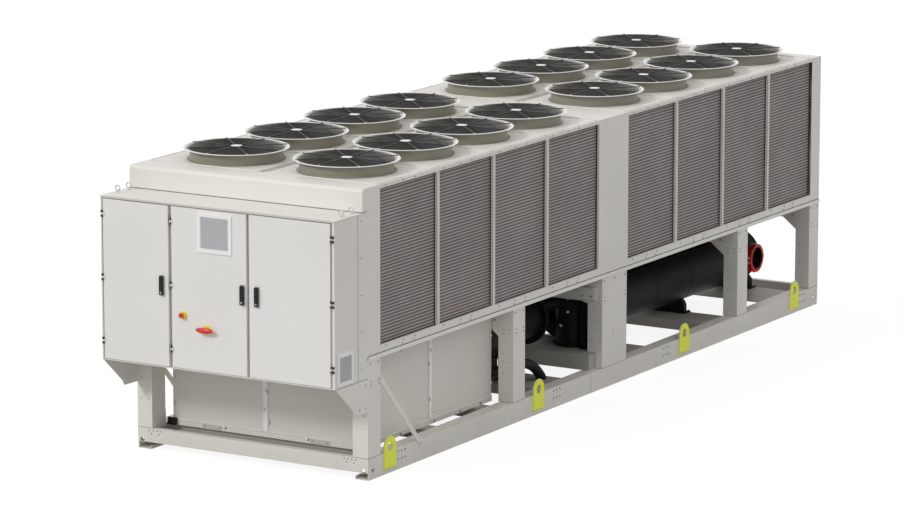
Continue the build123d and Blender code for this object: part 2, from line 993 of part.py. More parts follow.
def blade_section(radius, angle, chord):
    """A thin cambered slice of the blade at one radius."""
    half = chord / 2
    top = ThreePointArc((-half, 0), (0, blade_camber + blade_thickness), (half, 0))
    low = ThreePointArc((half, 0), (0, blade_camber), (-half, 0))
    plane = Plane(origin=(radius, 0, 0), x_dir=(0, 1, 0), z_dir=(1, 0, 0))
    return plane * Rot(0, 0, angle) * make_face([top, low])


def fan_blade():
    """A blade that is short and steep at the hub, long and flat at the tip."""
    root = blade_section(fan_hub_radius - blade_root_sink, blade_root_angle, blade_root_chord)
    tip = blade_section(ring_radius, blade_tip_angle, blade_tip_chord)
    return loft([root, tip], ruled=True)


def fan_rotor():
    middle = -fan_hub_height / 2
    rotor = Pos(0, 0, middle) * Cylinder(fan_hub_radius, fan_hub_height)
    blade = Pos(0, 0, middle) * fan_blade()
    for index in range(blade_count):
        rotor += Rot(0, 0, 360 * index / blade_count) * blade
    tip_radius = ring_radius - ring_sheet - tip_clearance
    swept_space = Pos(0, 0, middle) * Cylinder(tip_radius, 4 * fan_hub_height)
    bore_length = shaft_length + running_gap
    bore = Pos(0, 0, (overcut - bore_length) / 2) * Cylinder(shaft_radius + shaft_fit, bore_length + overcut)
    return (rotor & swept_space) - bore


# Control cabinet
def cabinet_walls():
    side = half_width
    inner = side - cabinet_sheet
    reach = inner - seam
    z0, z1 = cabinet_bottom, cabinet_top - roof_sheet
    front_side = block(inner, side, cabinet_front, side_joint_y - seam, z0, z1)
    rear_side = block(inner, side, side_joint_y, 0, z0, z1)
    floor = block(-reach, reach, cabinet_front, 0, z0, z0 + cabinet_sheet)
    back = block(-reach, reach, -cabinet_sheet, 0, z0 + cabinet_sheet + seam, z1)
    return mirrored([front_side, rear_side]) + [floor, back]


def cabinet_roof():
    reach = half_width + roof_overhang
    front = cabinet_front - roof_overhang
    return [block(-reach, reach, front, 0, cabinet_top - roof_sheet, cabinet_top)]


def cabinet_frame():
    """The rim round the doors, and the recessed bars that the doors close on."""
    inner = half_width - cabinet_sheet - seam
    bar_front = cabinet_front + door_thickness + seal_gap
    bar_y = (bar_front + seam, bar_front + seal_sheet)
    rim_y = (cabinet_front, bar_front)
    bottom, top = cabinet_bottom + cabinet_sheet, cabinet_top - roof_sheet
    left_jamb = -half_width + strip_left
    right_jamb = half_width - strip_right
    jambs = [
        block(-inner, left_jamb, *rim_y, bottom, top),
        block(right_jamb, inner, *rim_y, bottom, top),
    ]
    between = (left_jamb + seam, right_jamb - seam)
    head = block(*between, *rim_y, top - strip_top, top)
    sill = block(*between, *rim_y, bottom, bottom + strip_bottom)
    stiles = []
    for x0, x1 in (
        (-inner, door_left_span[0] + seal_overlap),
        (door_left_span[1] - seal_overlap, door_middle_span[0] + seal_overlap),
        (door_middle_span[1] - seal_overlap, door_right_span[0] + seal_overlap),
        (door_right_span[1] - seal_overlap, inner),
    ):
        stiles.append(block(x0, x1, *bar_y, bottom, top))
    rails = []
    for x0, x1 in (door_left_span, door_middle_span, door_right_span):
        clear = (x0 + seal_overlap + seam, x1 - seal_overlap - seam)
        rails.append(block(*clear, *bar_y, bottom, door_bottom + seal_overlap))
        rails.append(block(*clear, *bar_y, door_top - seal_overlap, top))
    return jambs + [head, sill] + stiles + rails


def mounting_plate():
    """The board for switchgear, on four studs from the back wall."""
    reach = half_width - board_inset
    board_y = -board_inset
    board_z = (cabinet_bottom + board_inset, cabinet_top - board_inset)
    board = block(-reach, reach, board_y, board_y + cabinet_sheet, *board_z)
    stud_y = (board_y + cabinet_sheet, -cabinet_sheet)
    for x in (board_inset - reach, reach - board_inset):
        for z in (board_z[0] + board_inset, board_z[1] - board_inset):
            board += cylinder_along("Y", board_stud_radius, *stud_y, x, z)
    return [board]


def cabinet_brackets():
    """Side plates under the cabinet that run back down to the front posts."""
    step_y, step_z = bracket_step
    outline = [
        (cabinet_front + roof_overhang, cabinet_bottom),
        (0, cabinet_bottom),
        (0, bracket_foot_z),
        (-bracket_foot_depth, bracket_foot_z + sheet),
        (-bracket_foot_depth - step_y, bracket_foot_z + step_z),
    ]
    return mirrored([profile_along_x(outline, half_width - sheet, half_width)])


def front_hood():
    """The folded cover over the cabinet, with a rounded top edge."""
    outer = block(-half_width, half_width, -hood_depth, 0, hood_bottom, deck_top)
    top_front = outer.edges().filter_by(Axis.X).group_by(Axis.Z)[-1].sort_by(Axis.Y)[0]
    outer = fillet(top_front, hood_round)
    reach = half_width - sheet
    inner = block(-reach, reach, sheet - hood_depth, 0, hood_bottom + sheet, deck_top - hood_round)
    return [outer - inner]


def side_vent():
    y0 = cabinet_front + side_vent_inset
    y1 = y0 + side_vent_width
    z0 = cabinet_bottom + side_vent_lift
    z1 = z0 + side_vent_height
    border = side_vent_border
    outer_x = half_width + vent_proud
    outer = block(half_width, outer_x, y0, y1, z0, z1)
    recess = block(
        outer_x - side_vent_recess, outer_x + overcut, y0 + border, y1 - border, z0 + border, z1 - border
    )
    return [outer - recess]


def eyebolt():
    """A ring of round wire, drawn with eight sides, on a short stem."""
    outline = []
    for index in range(8):
        angle = math.radians(45 * index + 22.5)
        outline.append((eyebolt_ring + eyebolt_wire * math.cos(angle), eyebolt_wire * math.sin(angle)))
    ring = turned_about_z(outline)
    drop = eyebolt_ring + eyebolt_sink
    stem = Pos(0, 0, -drop) * Cylinder(eyebolt_stem_radius, eyebolt_stem)
    return Rot(90, 0, 0) * ring + stem


def eyebolts():
    """Two on each end of the cabinet roof."""
    lift = eyebolt_ring + eyebolt_sink + eyebolt_stem / 2
    x = half_width - eyebolt_inset
    stations = [cabinet_front + back for back in eyebolts_behind_front]
    return mirrored([Pos(x, y, cabinet_top + lift) * eyebolt() for y in stations])


# Doors
def hinge_axis_x(door):
    if door == "left":
        return door_left_span[0] - hinge_gap_left
    if door == "middle":
        return door_middle_span[0] - hinge_gap_middle
    return door_right_span[1] + hinge_gap_right


def hinge_axis_y():
    return cabinet_front - hinge_proud


def door_pan(span, door):
    """A folded sheet door, open at the back, with the turning knuckles of its hinges."""
    x0, x1 = span
    back = cabinet_front + door_thickness
    outer = block(x0, x1, cabinet_front, back, door_bottom, door_top)
    hollow = block(
        x0 + door_fold,
        x1 - door_fold,
        cabinet_front + door_sheet,
        back,
        door_bottom + door_fold,
        door_top - door_fold,
    )
    pan = outer - hollow
    axis_x, axis_y = hinge_axis_x(door), hinge_axis_y()
    into = 1 if door != "right" else -1
    edge = x0 if into == 1 else x1
    for z in hinge_heights:
        low, high = z - knuckle_height / 2, z + knuckle_height / 2
        pan += cylinder_along("Z", knuckle_radius, low, high, axis_x, axis_y)
        pan += block(axis_x, edge + into * knuckle_reach, axis_y, cabinet_front, low, high)
        bore = (low - knuckle_gap, high + knuckle_gap)
        pan -= cylinder_along("Z", hinge_pin_radius + hinge_fit, *bore, axis_x, axis_y)
    return pan


def door_hinges():
    """Pins with an ear above and below each door knuckle, on the rim or on the bars."""
    pieces = []
    axis_y = hinge_axis_y()
    bar_front = cabinet_front + door_thickness + seal_gap
    for door in ("left", "middle", "right"):
        axis_x = hinge_axis_x(door)
        if door == "left":
            ear = (-half_width + hinge_ear_left_inset, axis_x, axis_y, cabinet_front)
        elif door == "right":
            ear = (axis_x, half_width - hinge_ear_right_inset, axis_y, cabinet_front)
        else:
            ear_x = axis_x - hinge_ear_left_inset
            ear = (ear_x - hinge_ear_plate, ear_x, axis_y, bar_front)
        for z in hinge_heights:
            reach = knuckle_height * 1.5 + knuckle_gap
            hinge = cylinder_along("Z", hinge_pin_radius, z - reach, z + reach, axis_x, axis_y)
            for low in (z - reach, z + knuckle_height / 2 + knuckle_gap):
                high = low + knuckle_height
                hinge += cylinder_along("Z", knuckle_radius, low, high, axis_x, axis_y)
                hinge += block(*ear, low, high)
            pieces.append(hinge)
    return pieces


def handle_lever(x):
    """A flat lever that turns on a round boss near its lower end."""
    front = cabinet_front - handle_pad
    half = handle_width / 2
    low = handle_z - handle_height / 2
    high = handle_z + handle_height / 2
    lever = block(x - half, x + half, front - handle_depth, front, low, high)
    lever = fillet(lever.edges().filter_by(Axis.Y), handle_round)
    pivot = cylinder_along("Y", handle_pivot_radius, front, cabinet_front, x, low + half)
    return [lever + pivot]


def door_vent():
    x, z = vent_centre
    half_w, half_h = vent_frame_width / 2, vent_frame_height / 2
    front = cabinet_front - vent_proud
    outer = block(x - half_w, x + half_w, front, cabinet_front, z - half_h, z + half_h)
    outer = fillet(outer.edges().filter_by(Axis.Y), vent_round)
    inner_w, inner_h = half_w - vent_frame_border, half_h - vent_frame_border
    recess = block(x - inner_w, x + inner_w, front - overcut, front + vent_recess, z - inner_h, z + inner_h)
    return [outer - recess]


def estop_collar():
    x, z = estop_centre
    face = cabinet_front - estop_collar_height
    collar = cylinder_along("Y", estop_collar_radius, face, cabinet_front, x, z)
    depth = (face - overcut, cabinet_front - socket_floor)
    bore = cylinder_along("Y", estop_stem_radius + hinge_fit, *depth, x, z)
    return [collar - bore]


def estop_button():
    """Mushroom head on a stem that slides in the collar."""
    x, z = estop_centre
    collar_face = cabinet_front - estop_collar_height
    stem_end = cabinet_front - socket_floor - estop_travel - knuckle_gap
    head_back = collar_face - estop_travel - estop_clearance
    stem = cylinder_along("Y", estop_stem_radius, head_back, stem_end, x, z)
    head = cylinder_along("Y", estop_head_radius, head_back - estop_head_height, head_back, x, z)
    return [stem + head]


def isolator_base():
    x, z = isolator_centre
    face = cabinet_front - isolator_base_height
    base = cylinder_along("Y", isolator_base_radius, face, cabinet_front, x, z)
    radius = isolator_spindle_radius + hinge_fit
    bore = cylinder_along("Y", radius, face - overcut, cabinet_front - isolator_floor, x, z)
    return [base - bore]


def isolator_handle():
    """A rounded bar on a spindle, standing off from its base."""
    x, z = isolator_centre
    grip_back = cabinet_front - isolator_base_height - isolator_stand_off
    grip_front = grip_back - isolator_grip
    spindle_end = cabinet_front - isolator_floor - knuckle_gap
    spindle = cylinder_along("Y", isolator_spindle_radius, grip_back, spindle_end, x, z)
    half_l, half_h = isolator_length / 2, isolator_height / 2
    grip = block(x - half_l, x + half_l, grip_front, grip_back, z - half_h, z + half_h)
    grip = fillet(grip.edges().filter_by(Axis.Y), isolator_round)
    return [spindle + grip]


def build_all():
    save("base_rails", base_rails())
    save("base_end_beams", base_end_beams())
    save("floor_beams", floor_beams())
    save("lifting_lugs", lifting_lugs())
    save("posts", posts())
    save("cross_beams", cross_beams())
    save("mid_rails", mid_rails())
    save("mid_deck", mid_deck())
    save("gussets_and_braces", corner_gussets() + diagonal_braces())
    save("enclosure_panels", enclosure_panels())
    save("enclosure_frame", enclosure_frame())
    save("compressor", compressor())
    save("evaporator_shell", evaporator_shell())
    save("evaporator_heads", evaporator_heads())
    save("evaporator_saddles", evaporator_saddles())
    save("water_nozzles", water_nozzles())
    save("pipe_couplings", pipe_couplings())
    save("refrigerant_pipes", refrigerant_pipes())
    save("side_panels", side_panels())
    save("end_walls", end_walls())
    save("coil_frames", coil_strips() + coil_dividers())
    save("condenser_coils", condenser_coils())
    save("fan_deck", fan_deck())
    save("fan_rings", fan_rings())
    save("fan_guards", fan_guards())
    rotor = fan_rotor()
    for number, (x, y) in enumerate(fan_stations(), start=1):
        save(f"fan_{number:02d}", [Pos(x, y, fan_hub_top) * rotor])
    save("cabinet_walls", cabinet_walls())
    save("cabinet_roof", cabinet_roof())
    save("cabinet_frame", cabinet_frame())
    save("mounting_plate", mounting_plate())
    save("cabinet_brackets", cabinet_brackets())
    save("front_hood", front_hood())
    save("side_vent", side_vent())
    save("eyebolts", eyebolts())
    save("door_hinges", door_hinges())
    save("door_left", [door_pan(door_left_span, "left")])
    save("door_middle", [door_pan(door_middle_span, "middle")])
    save("door_right", [door_pan(door_right_span, "right")])
    save("handle_left", handle_lever(handle_left_x))
    save("handle_middle", handle_lever(handle_middle_x))
    save("handle_right", handle_lever(handle_right_x))
    save("door_vent", door_vent())
    save("switch_bases", estop_collar() + isolator_base())
    save("estop_button", estop_button())
    save("isolator_handle", isolator_handle())


build_all()
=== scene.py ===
import json
import math
import bmesh
import bpy
from mathutils import Matrix, Vector


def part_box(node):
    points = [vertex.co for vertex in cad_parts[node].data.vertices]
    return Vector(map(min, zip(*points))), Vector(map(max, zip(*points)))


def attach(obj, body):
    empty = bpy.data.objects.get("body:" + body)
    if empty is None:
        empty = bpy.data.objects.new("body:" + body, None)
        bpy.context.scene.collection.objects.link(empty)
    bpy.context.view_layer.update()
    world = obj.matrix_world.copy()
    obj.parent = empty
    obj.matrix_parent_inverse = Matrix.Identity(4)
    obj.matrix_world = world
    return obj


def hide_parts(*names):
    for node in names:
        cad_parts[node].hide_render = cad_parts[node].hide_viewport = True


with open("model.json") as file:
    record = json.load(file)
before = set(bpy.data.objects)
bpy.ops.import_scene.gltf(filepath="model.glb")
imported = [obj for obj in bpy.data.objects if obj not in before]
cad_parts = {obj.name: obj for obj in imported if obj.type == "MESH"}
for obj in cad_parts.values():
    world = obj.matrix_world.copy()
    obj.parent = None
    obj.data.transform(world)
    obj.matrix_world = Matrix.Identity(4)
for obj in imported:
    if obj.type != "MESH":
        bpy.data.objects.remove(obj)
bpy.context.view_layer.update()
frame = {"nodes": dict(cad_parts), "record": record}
nodes = frame["nodes"]
scene = bpy.context.scene

# Paint colours
GREY_PAINT = (0.80, 0.775, 0.725)
DOOR_PAINT = (0.835, 0.82, 0.79)
PANEL_PAINT = (0.76, 0.735, 0.68)
RING_PAINT = (0.27, 0.255, 0.205)
DUST = (0.80, 0.77, 0.70)
SOIL = (0.34, 0.30, 0.24)
NEAR_BLACK = (0.012, 0.012, 0.013)


# Places read from the frame
def solid_boxes(node):
    """The lowest and highest corner of each separate solid of a node, from the front to the rear."""
    mesh = bmesh.new()
    mesh.from_mesh(nodes[node].data)
    bmesh.ops.remove_doubles(mesh, verts=mesh.verts, dist=1e-5)
    left = dict.fromkeys(mesh.verts)
    boxes = []
    while left:
        first = next(iter(left))
        del left[first]
        stack = [first]
        low, high = first.co.copy(), first.co.copy()
        while stack:
            vert = stack.pop()
            for axis in range(3):
                low[axis] = min(low[axis], vert.co[axis])
                high[axis] = max(high[axis], vert.co[axis])
            for edge in vert.link_edges:
                other = edge.other_vert(vert)
                if other in left:
                    del left[other]
                    stack.append(other)
        boxes.append((low, high))
    mesh.free()
    return sorted(boxes, key=lambda pair: (round(pair[0].y, 3), round(pair[0].x, 3), round(pair[0].z, 3)))


def middle(pair):
    return (pair[0] + pair[1]) / 2


front_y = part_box("posts")[0].y
rear_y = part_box("posts")[1].y
half_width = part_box("posts")[1].x
rail_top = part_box("base_rails")[1].z
frame_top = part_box("posts")[1].z
mid_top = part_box("mid_rails")[1].z
mid_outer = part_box("mid_rails")[1].x
deck_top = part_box("fan_deck")[1].z
post_boxes = solid_boxes("posts")
ring_boxes = solid_boxes("fan_rings")
coil_boxes = solid_boxes("condenser_coils")
panel_boxes = solid_boxes("side_panels")
fan_centres = [middle(pair) for pair in ring_boxes]
ring_radius = (ring_boxes[0][1].x - ring_boxes[0][0].x) / 2
ring_top = ring_boxes[0][1].z


# Materials
class Recipe:
    """A material's node tree, with short calls for what the finishes here need."""

    def __init__(self, name):
        self.material = bpy.data.materials.new(name)
        self.material.use_nodes = True
        self.tree = self.material.node_tree
        self.shader = self.tree.nodes["Principled BSDF"]
        self.coords = self.tree.nodes.new("ShaderNodeTexCoord").outputs["Object"]

    def feed(self, socket, value):
        if isinstance(value, bpy.types.NodeSocket):
            self.tree.links.new(value, socket)
        elif isinstance(value, tuple) and len(value) == 3 and socket.type == "RGBA":
            socket.default_value = (*value, 1.0)
        else:
            socket.default_value = value

    def noise(self, scale, detail=3.0, stretch=(1.0, 1.0, 1.0)):
        mapping = self.tree.nodes.new("ShaderNodeMapping")
        mapping.inputs["Scale"].default_value = stretch
        self.feed(mapping.inputs["Vector"], self.coords)
        texture = self.tree.nodes.new("ShaderNodeTexNoise")
        texture.inputs["Scale"].default_value = scale
        texture.inputs["Detail"].default_value = detail
        self.feed(texture.inputs["Vector"], mapping.outputs["Vector"])
        return texture.outputs["Fac"]

    def math(self, operation, first, second=0.0):
        node = self.tree.nodes.new("ShaderNodeMath")
        node.operation = operation
        self.feed(node.inputs[0], first)
        self.feed(node.inputs[1], second)
        return node.outputs[0]

    def spread(self, value, low, high, to_low, to_high):
        node = self.tree.nodes.new("ShaderNodeMapRange")
        self.feed(node.inputs["Value"], value)
        for socket, number in zip(("From Min", "From Max", "To Min", "To Max"), (low, high, to_low, to_high)):
            node.inputs[socket].default_value = number
        return node.outputs["Result"]

    def mix(self, factor, first, second):
        node = self.tree.nodes.new("ShaderNodeMix")
        node.data_type = "RGBA"
        self.feed(node.inputs["Factor"], factor)
        self.feed(node.inputs[6], first)
        self.feed(node.inputs[7], second)
        return node.outputs[2]

    def axis(self, vector, name):
        node = self.tree.nodes.new("ShaderNodeSeparateXYZ")
        self.feed(node.inputs[0], vector)
        return node.outputs[name]

    def facing(self):
        return self.tree.nodes.new("ShaderNodeNewGeometry").outputs["True Normal"]

    def bump(self, height, normal=None):
        """A bump whose height is in metres."""
        node = self.tree.nodes.new("ShaderNodeBump")
        node.inputs["Distance"].default_value = 1.0
        self.feed(node.inputs["Height"], height)
        if normal is not None:
            self.feed(node.inputs["Normal"], normal)
        self.feed(self.shader.inputs["Normal"], node.outputs["Normal"])

    def rounded(self, radius):
        node = self.tree.nodes.new("ShaderNodeBevel")
        node.samples = 4
        node.inputs["Radius"].default_value = radius
        return node.outputs["Normal"]

    def finish(self, color, roughness, metallic=0.0, gloss=0.5):
        self.feed(self.shader.inputs["Base Color"], color)
        self.feed(self.shader.inputs["Roughness"], roughness)
        self.shader.inputs["Metallic"].default_value = metallic
        self.shader.inputs["Specular IOR Level"].default_value = gloss
        return self.material


def tint(color, factor):
    return tuple(min(channel * factor, 1.0) for channel in color)


def paint(name, color, roughness=0.42, cloud=0.03, streak=0.05, dust=0.18, grime=0.3, waves=0.0012, edge=True):
    """Powder coat: cloudy tone, faint run-down streaks, dust on top, soil near the ground, rounded edges."""
    recipe = Recipe(name)
    tone = recipe.spread(recipe.noise(0.8), 0.35, 0.65, 0.0, 1.0)
    base = recipe.mix(tone, tint(color, 1 - cloud), tint(color, 1 + cloud))
    streaks = recipe.spread(recipe.noise(9.0, 4.0, (1.0, 1.0, 0.05)), 0.52, 0.78, 0.0, streak)
    base = recipe.mix(streaks, base, tint(color, 0.72))
    speckle = recipe.noise(14.0, 5.0)
    upward = recipe.spread(recipe.axis(recipe.facing(), "Z"), 0.7, 0.95, 0.0, dust)
    base = recipe.mix(recipe.math("MULTIPLY", upward, speckle), base, DUST)
    height = recipe.axis(recipe.coords, "Z")
    foot = recipe.math("MULTIPLY", recipe.spread(height, 0.0, 0.30, grime, 0.0), speckle)
    base = recipe.mix(foot, base, SOIL)
    worn = recipe.spread(recipe.noise(3.0), 0.3, 0.7, roughness - 0.05, roughness + 0.09)
    sheet = recipe.math("MULTIPLY", recipe.noise(1.7, 2.0), waves)
    peel = recipe.math("MULTIPLY", recipe.noise(260.0, 1.0), 0.00002)
    normal = recipe.rounded(0.003) if edge else None
    recipe.bump(recipe.math("ADD", sheet, peel), normal)
    return recipe.finish(base, worn)


def coil_material():
    """Level fins: painted highlight along the crests and painted shade in the folds, with fine upright fin lines
    darkened as painted shade between the fins.
    """
    crests = sorted({round(v.co.z, 4) for v in nodes["condenser_coils"].data.vertices
                     if abs(v.co.x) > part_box("condenser_coils")[1].x - 0.0005})
    pitch = (crests[-1] - crests[0]) / (len(crests) - 1)
    recipe = Recipe("coil_fins")
    height = recipe.axis(recipe.coords, "Z")
    turns = recipe.math("DIVIDE", recipe.math("SUBTRACT", height, crests[0]), pitch)
    wave = recipe.math("COSINE", recipe.math("MULTIPLY", turns, 2 * math.pi))
    # Painted light: this mask is 1 on the crests of the fin waves, painted pale as highlight, and 0 in the folds,
    # painted dark as shade.
    crest_highlight_mask = recipe.spread(wave, -0.55, 0.75, 0.0, 1.0)
    along = recipe.axis(recipe.coords, "Y")
    fins = recipe.math("SINE", recipe.math("MULTIPLY", along, 2 * math.pi / 0.0036))
    patch = recipe.spread(recipe.noise(2.5, 5.0), 0.3, 0.7, 0.0, 1.0)
    # Painted highlight and painted shade: pale holds the lit crest colour, deep the shaded fold colour.
    pale = recipe.mix(patch, (0.42, 0.375, 0.36), (0.50, 0.45, 0.435))
    deep = recipe.mix(patch, (0.105, 0.082, 0.080), (0.14, 0.112, 0.108))
    color = recipe.mix(crest_highlight_mask, deep, pale)
    # Painted shade: the fine upright lines darken the colour in the gaps between the fins.
    color = recipe.mix(recipe.spread(fins, 0.2, 1.0, 0.0, 0.35), color, (0.09, 0.075, 0.07))
    ripple = recipe.math("MULTIPLY", recipe.noise(40.0, 3.0, (1.0, 1.0, 4.0)), 0.002)
    recipe.bump(recipe.math("ADD", ripple, recipe.math("MULTIPLY", fins, 0.0002)))
    return recipe.finish(color, 0.55, 0.0)


def ring_material():
    """Spun sheet: grey-olive outside, with turned rings, and a painted highlight along the top of the rim."""
    recipe = Recipe("ring_paint")
    height = recipe.axis(recipe.coords, "Z")
    # Painted highlight: near the top edge the colour turns almost white, as light caught on the rim.
    rim = recipe.spread(height, ring_top - 0.012, ring_top - 0.003, 0.0, 1.0)
    tone = recipe.noise(2.0, 4.0)
    body = recipe.mix(tone, tint(RING_PAINT, 0.86), tint(RING_PAINT, 1.12))
    color = recipe.mix(rim, body, (0.92, 0.91, 0.88))
    turned = recipe.math("SINE", recipe.math("MULTIPLY", height, 2 * math.pi / 0.012))
    grain = recipe.math("MULTIPLY", turned, 0.00006)
    recipe.bump(recipe.math("ADD", grain, recipe.math("MULTIPLY", recipe.noise(3.0), 0.0015)))
    return recipe.finish(color, recipe.spread(tone, 0.3, 0.7, 0.34, 0.5))


def guard_material():
    """Dark coated wire; the flat disc in the middle, above the bars, is pale."""
    recipe = Recipe("guard_wire")
    disc_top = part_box("fan_guards")[1].z
    height = recipe.axis(recipe.coords, "Z")
    disc = recipe.spread(height, disc_top - 0.0009, disc_top - 0.0004, 0.0, 1.0)
    tone = recipe.noise(30.0, 4.0)
    wire = recipe.mix(tone, (0.030, 0.030, 0.029), (0.055, 0.054, 0.052))
    color = recipe.mix(disc, wire, (0.86, 0.855, 0.84))
    recipe.bump(recipe.math("MULTIPLY", recipe.noise(500.0), 0.00005))
    return recipe.finish(color, recipe.spread(tone, 0.3, 0.7, 0.35, 0.55))


def black_enamel(name, color=(0.005, 0.005, 0.0055), roughness=0.55, gloss=0.14, dust=0.03):
    recipe = Recipe(name)
    tone = recipe.noise(6.0, 5.0)
    base = recipe.mix(recipe.spread(tone, 0.3, 0.7, 0.0, 1.0), tint(color, 0.7), tint(color, 1.5))
    upward = recipe.spread(recipe.axis(recipe.facing(), "Z"), 0.5, 1.0, 0.0, dust)
    base = recipe.mix(recipe.math("MULTIPLY", upward, recipe.noise(18.0, 4.0)), base, DUST)
    cast = recipe.math("MULTIPLY", recipe.noise(120.0, 3.0), 0.0004)
    recipe.bump(cast, recipe.rounded(0.003))
    return recipe.finish(base, recipe.spread(tone, 0.3, 0.7, roughness - 0.06, roughness + 0.14), gloss=gloss)


def rubber_foam():
    """Closed-cell insulation: soft dents, stretch marks along the length, a dull skin."""
    recipe = Recipe("insulation")
    marks = recipe.noise(5.0, 5.0, (1.0, 0.12, 1.0))
    base = recipe.mix(recipe.spread(marks, 0.35, 0.7, 0.0, 1.0), (0.004, 0.004, 0.004), (0.011, 0.011, 0.010))
    dents = recipe.math("MULTIPLY", recipe.noise(4.0, 3.0), 0.010)
    skin = recipe.math("MULTIPLY", recipe.noise(300.0, 2.0), 0.0002)
    recipe.bump(recipe.math("ADD", dents, skin))
    return recipe.finish(base, recipe.spread(marks, 0.3, 0.7, 0.50, 0.68), gloss=0.16)


def moulded(name, color, roughness=0.35, contrast=0.08, gloss=0.5):
    recipe = Recipe(name)
    tone = recipe.noise(25.0, 4.0)
    base = recipe.mix(tone, tint(color, 1 - contrast), tint(color, 1 + contrast))
    recipe.bump(recipe.math("MULTIPLY", recipe.noise(900.0, 2.0), 0.00004), recipe.rounded(0.0012))
    return recipe.finish(base, recipe.spread(tone, 0.3, 0.7, roughness - 0.04, roughness + 0.08), gloss=gloss)


def bright_metal(name, color=(0.72, 0.72, 0.71), roughness=0.28):
    recipe = Recipe(name)
    tone = recipe.noise(60.0, 4.0)
    base = recipe.mix(tone, tint(color, 0.85), tint(color, 1.1))
    recipe.bump(recipe.math("MULTIPLY", recipe.noise(700.0, 2.0), 0.00003))
    return recipe.finish(base, recipe.spread(tone, 0.3, 0.7, roughness - 0.06, roughness + 0.12), 1.0)


def zinc_sheet():
    """Galvanised sheet with its crystal pattern."""
    recipe = Recipe("bright_steel")
    crystals = recipe.tree.nodes.new("ShaderNodeTexVoronoi")
    crystals.inputs["Scale"].default_value = 55.0
    recipe.feed(crystals.inputs["Vector"], recipe.coords)
    tone = recipe.axis(crystals.outputs["Color"], "X")
    base = recipe.mix(tone, (0.50, 0.51, 0.52), (0.66, 0.67, 0.68))
    recipe.bump(recipe.math("MULTIPLY", recipe.noise(2.0), 0.001))
    return recipe.finish(base, recipe.spread(tone, 0.0, 1.0, 0.3, 0.46), 0.85)


def lug_material():
    recipe = Recipe("lug_paint")
    tone = recipe.noise(12.0, 5.0)
    base = recipe.mix(tone, (0.86, 0.93, 0.040), (0.97, 1.0, 0.08))
    chips = recipe.spread(recipe.noise(70.0, 6.0), 0.66, 0.70, 0.0, 0.7)
    base = recipe.mix(chips, base, (0.45, 0.46, 0.20))
    recipe.bump(recipe.math("MULTIPLY", recipe.noise(180.0, 3.0), 0.0001), recipe.rounded(0.003))
    return recipe.finish(base, recipe.spread(tone, 0.3, 0.7, 0.36, 0.5))


def fan_material():
    recipe = Recipe("fan_black")
    tone = recipe.noise(8.0, 5.0)
    base = recipe.mix(tone, (0.016, 0.016, 0.016), (0.034, 0.033, 0.032))
    recipe.bump(recipe.math("MULTIPLY", recipe.noise(220.0, 2.0), 0.0002), recipe.rounded(0.003))
    return recipe.finish(base, recipe.spread(tone, 0.3, 0.7, 0.4, 0.6))


materials = {
    "frame_paint": paint("frame_paint", GREY_PAINT),
    "door_paint": paint("door_paint", DOOR_PAINT, roughness=0.38, cloud=0.015, streak=0.0, waves=0.0009),
    "panel_paint": paint("panel_paint", PANEL_PAINT, roughness=0.46, cloud=0.02, streak=0.03, waves=0.004),
    "deck_shade": paint("deck_shade", (0.03, 0.03, 0.028), roughness=0.7, dust=0.0, edge=False),
    # Painted highlight: a paler copy of the frame paint for the divider ridges and the sill lips.
    "trim_highlight": paint("trim_highlight", (0.88, 0.86, 0.82), roughness=0.34, streak=0.03),
    "strip_white": paint("strip_white", (0.94, 0.93, 0.95), roughness=0.3, cloud=0.01, streak=0.0),
    # Painted shade: a darker copy of the frame paint for the floor beams, standing in for the shade of the machine
    # bays.
    "floor_beam_shade": paint("floor_beam_shade", (0.40, 0.385, 0.35), roughness=0.5, dust=0.08, grime=0.45),
    # Painted highlight: a paler copy of the frame paint for the level rails.
    "mid_rail_highlight": paint("mid_rail_highlight", (0.86, 0.84, 0.79), roughness=0.38, streak=0.04),
    "pad_olive": paint("pad_olive", (0.60, 0.585, 0.50), roughness=0.5, streak=0.0),
    "lug_paint": lug_material(),
    "coil_fins": coil_material(),
    "black_parts": black_enamel("black_parts"),
    "insulation": rubber_foam(),
    "fan_black": fan_material(),
    "guard_wire": guard_material(),
    "ring_paint": ring_material(),
    "hinge_black": moulded("hinge_black", (0.012, 0.012, 0.012), 0.5, gloss=0.25),
    "handle_black": moulded("handle_black", (0.010, 0.010, 0.011), 0.45, gloss=0.25),
    "vent_white": moulded("vent_white", (0.93, 0.93, 0.93), 0.4, 0.02),
    "filter_grey": moulded("filter_grey", (0.50, 0.51, 0.53), 0.7),
    "filter_pale": moulded("filter_pale", (0.60, 0.605, 0.625), 0.7, 0.12),
    "signal_yellow": moulded("signal_yellow", (0.90, 0.70, 0.03), 0.3),
    "signal_red": moulded("signal_red", (0.72, 0.025, 0.02), 0.28),
    "coupling_red": black_enamel("coupling_red", (0.56, 0.005, 0.014), 0.32, 0.4, 0.02),
    "bright_steel": zinc_sheet(),
    "screw_bright": bright_metal("screw_bright"),
    "screw_dull": bright_metal("screw_dull", (0.34, 0.33, 0.31), 0.45),
    # Dark joint lines on the deck, frame, rear wall and cabinet; in the coil recesses the same finish is painted
    # shade.
    "dark_seam_and_shade": moulded("dark_seam_and_shade", (0.05, 0.048, 0.044), 0.8, gloss=0.1),
    # Grey joint lines on the frame; round the enclosure clamps the same finish is painted shadow.
    "grey_seam_and_shadow": moulded("grey_seam_and_shadow", (0.22, 0.21, 0.19), 0.7, gloss=0.2),
    # Black rubber of the seals and buffers; on the punched holes the same finish is painted shade.
    "rubber_and_hole_shade": moulded("rubber_and_hole_shade", NEAR_BLACK, 0.7, gloss=0.2),
}


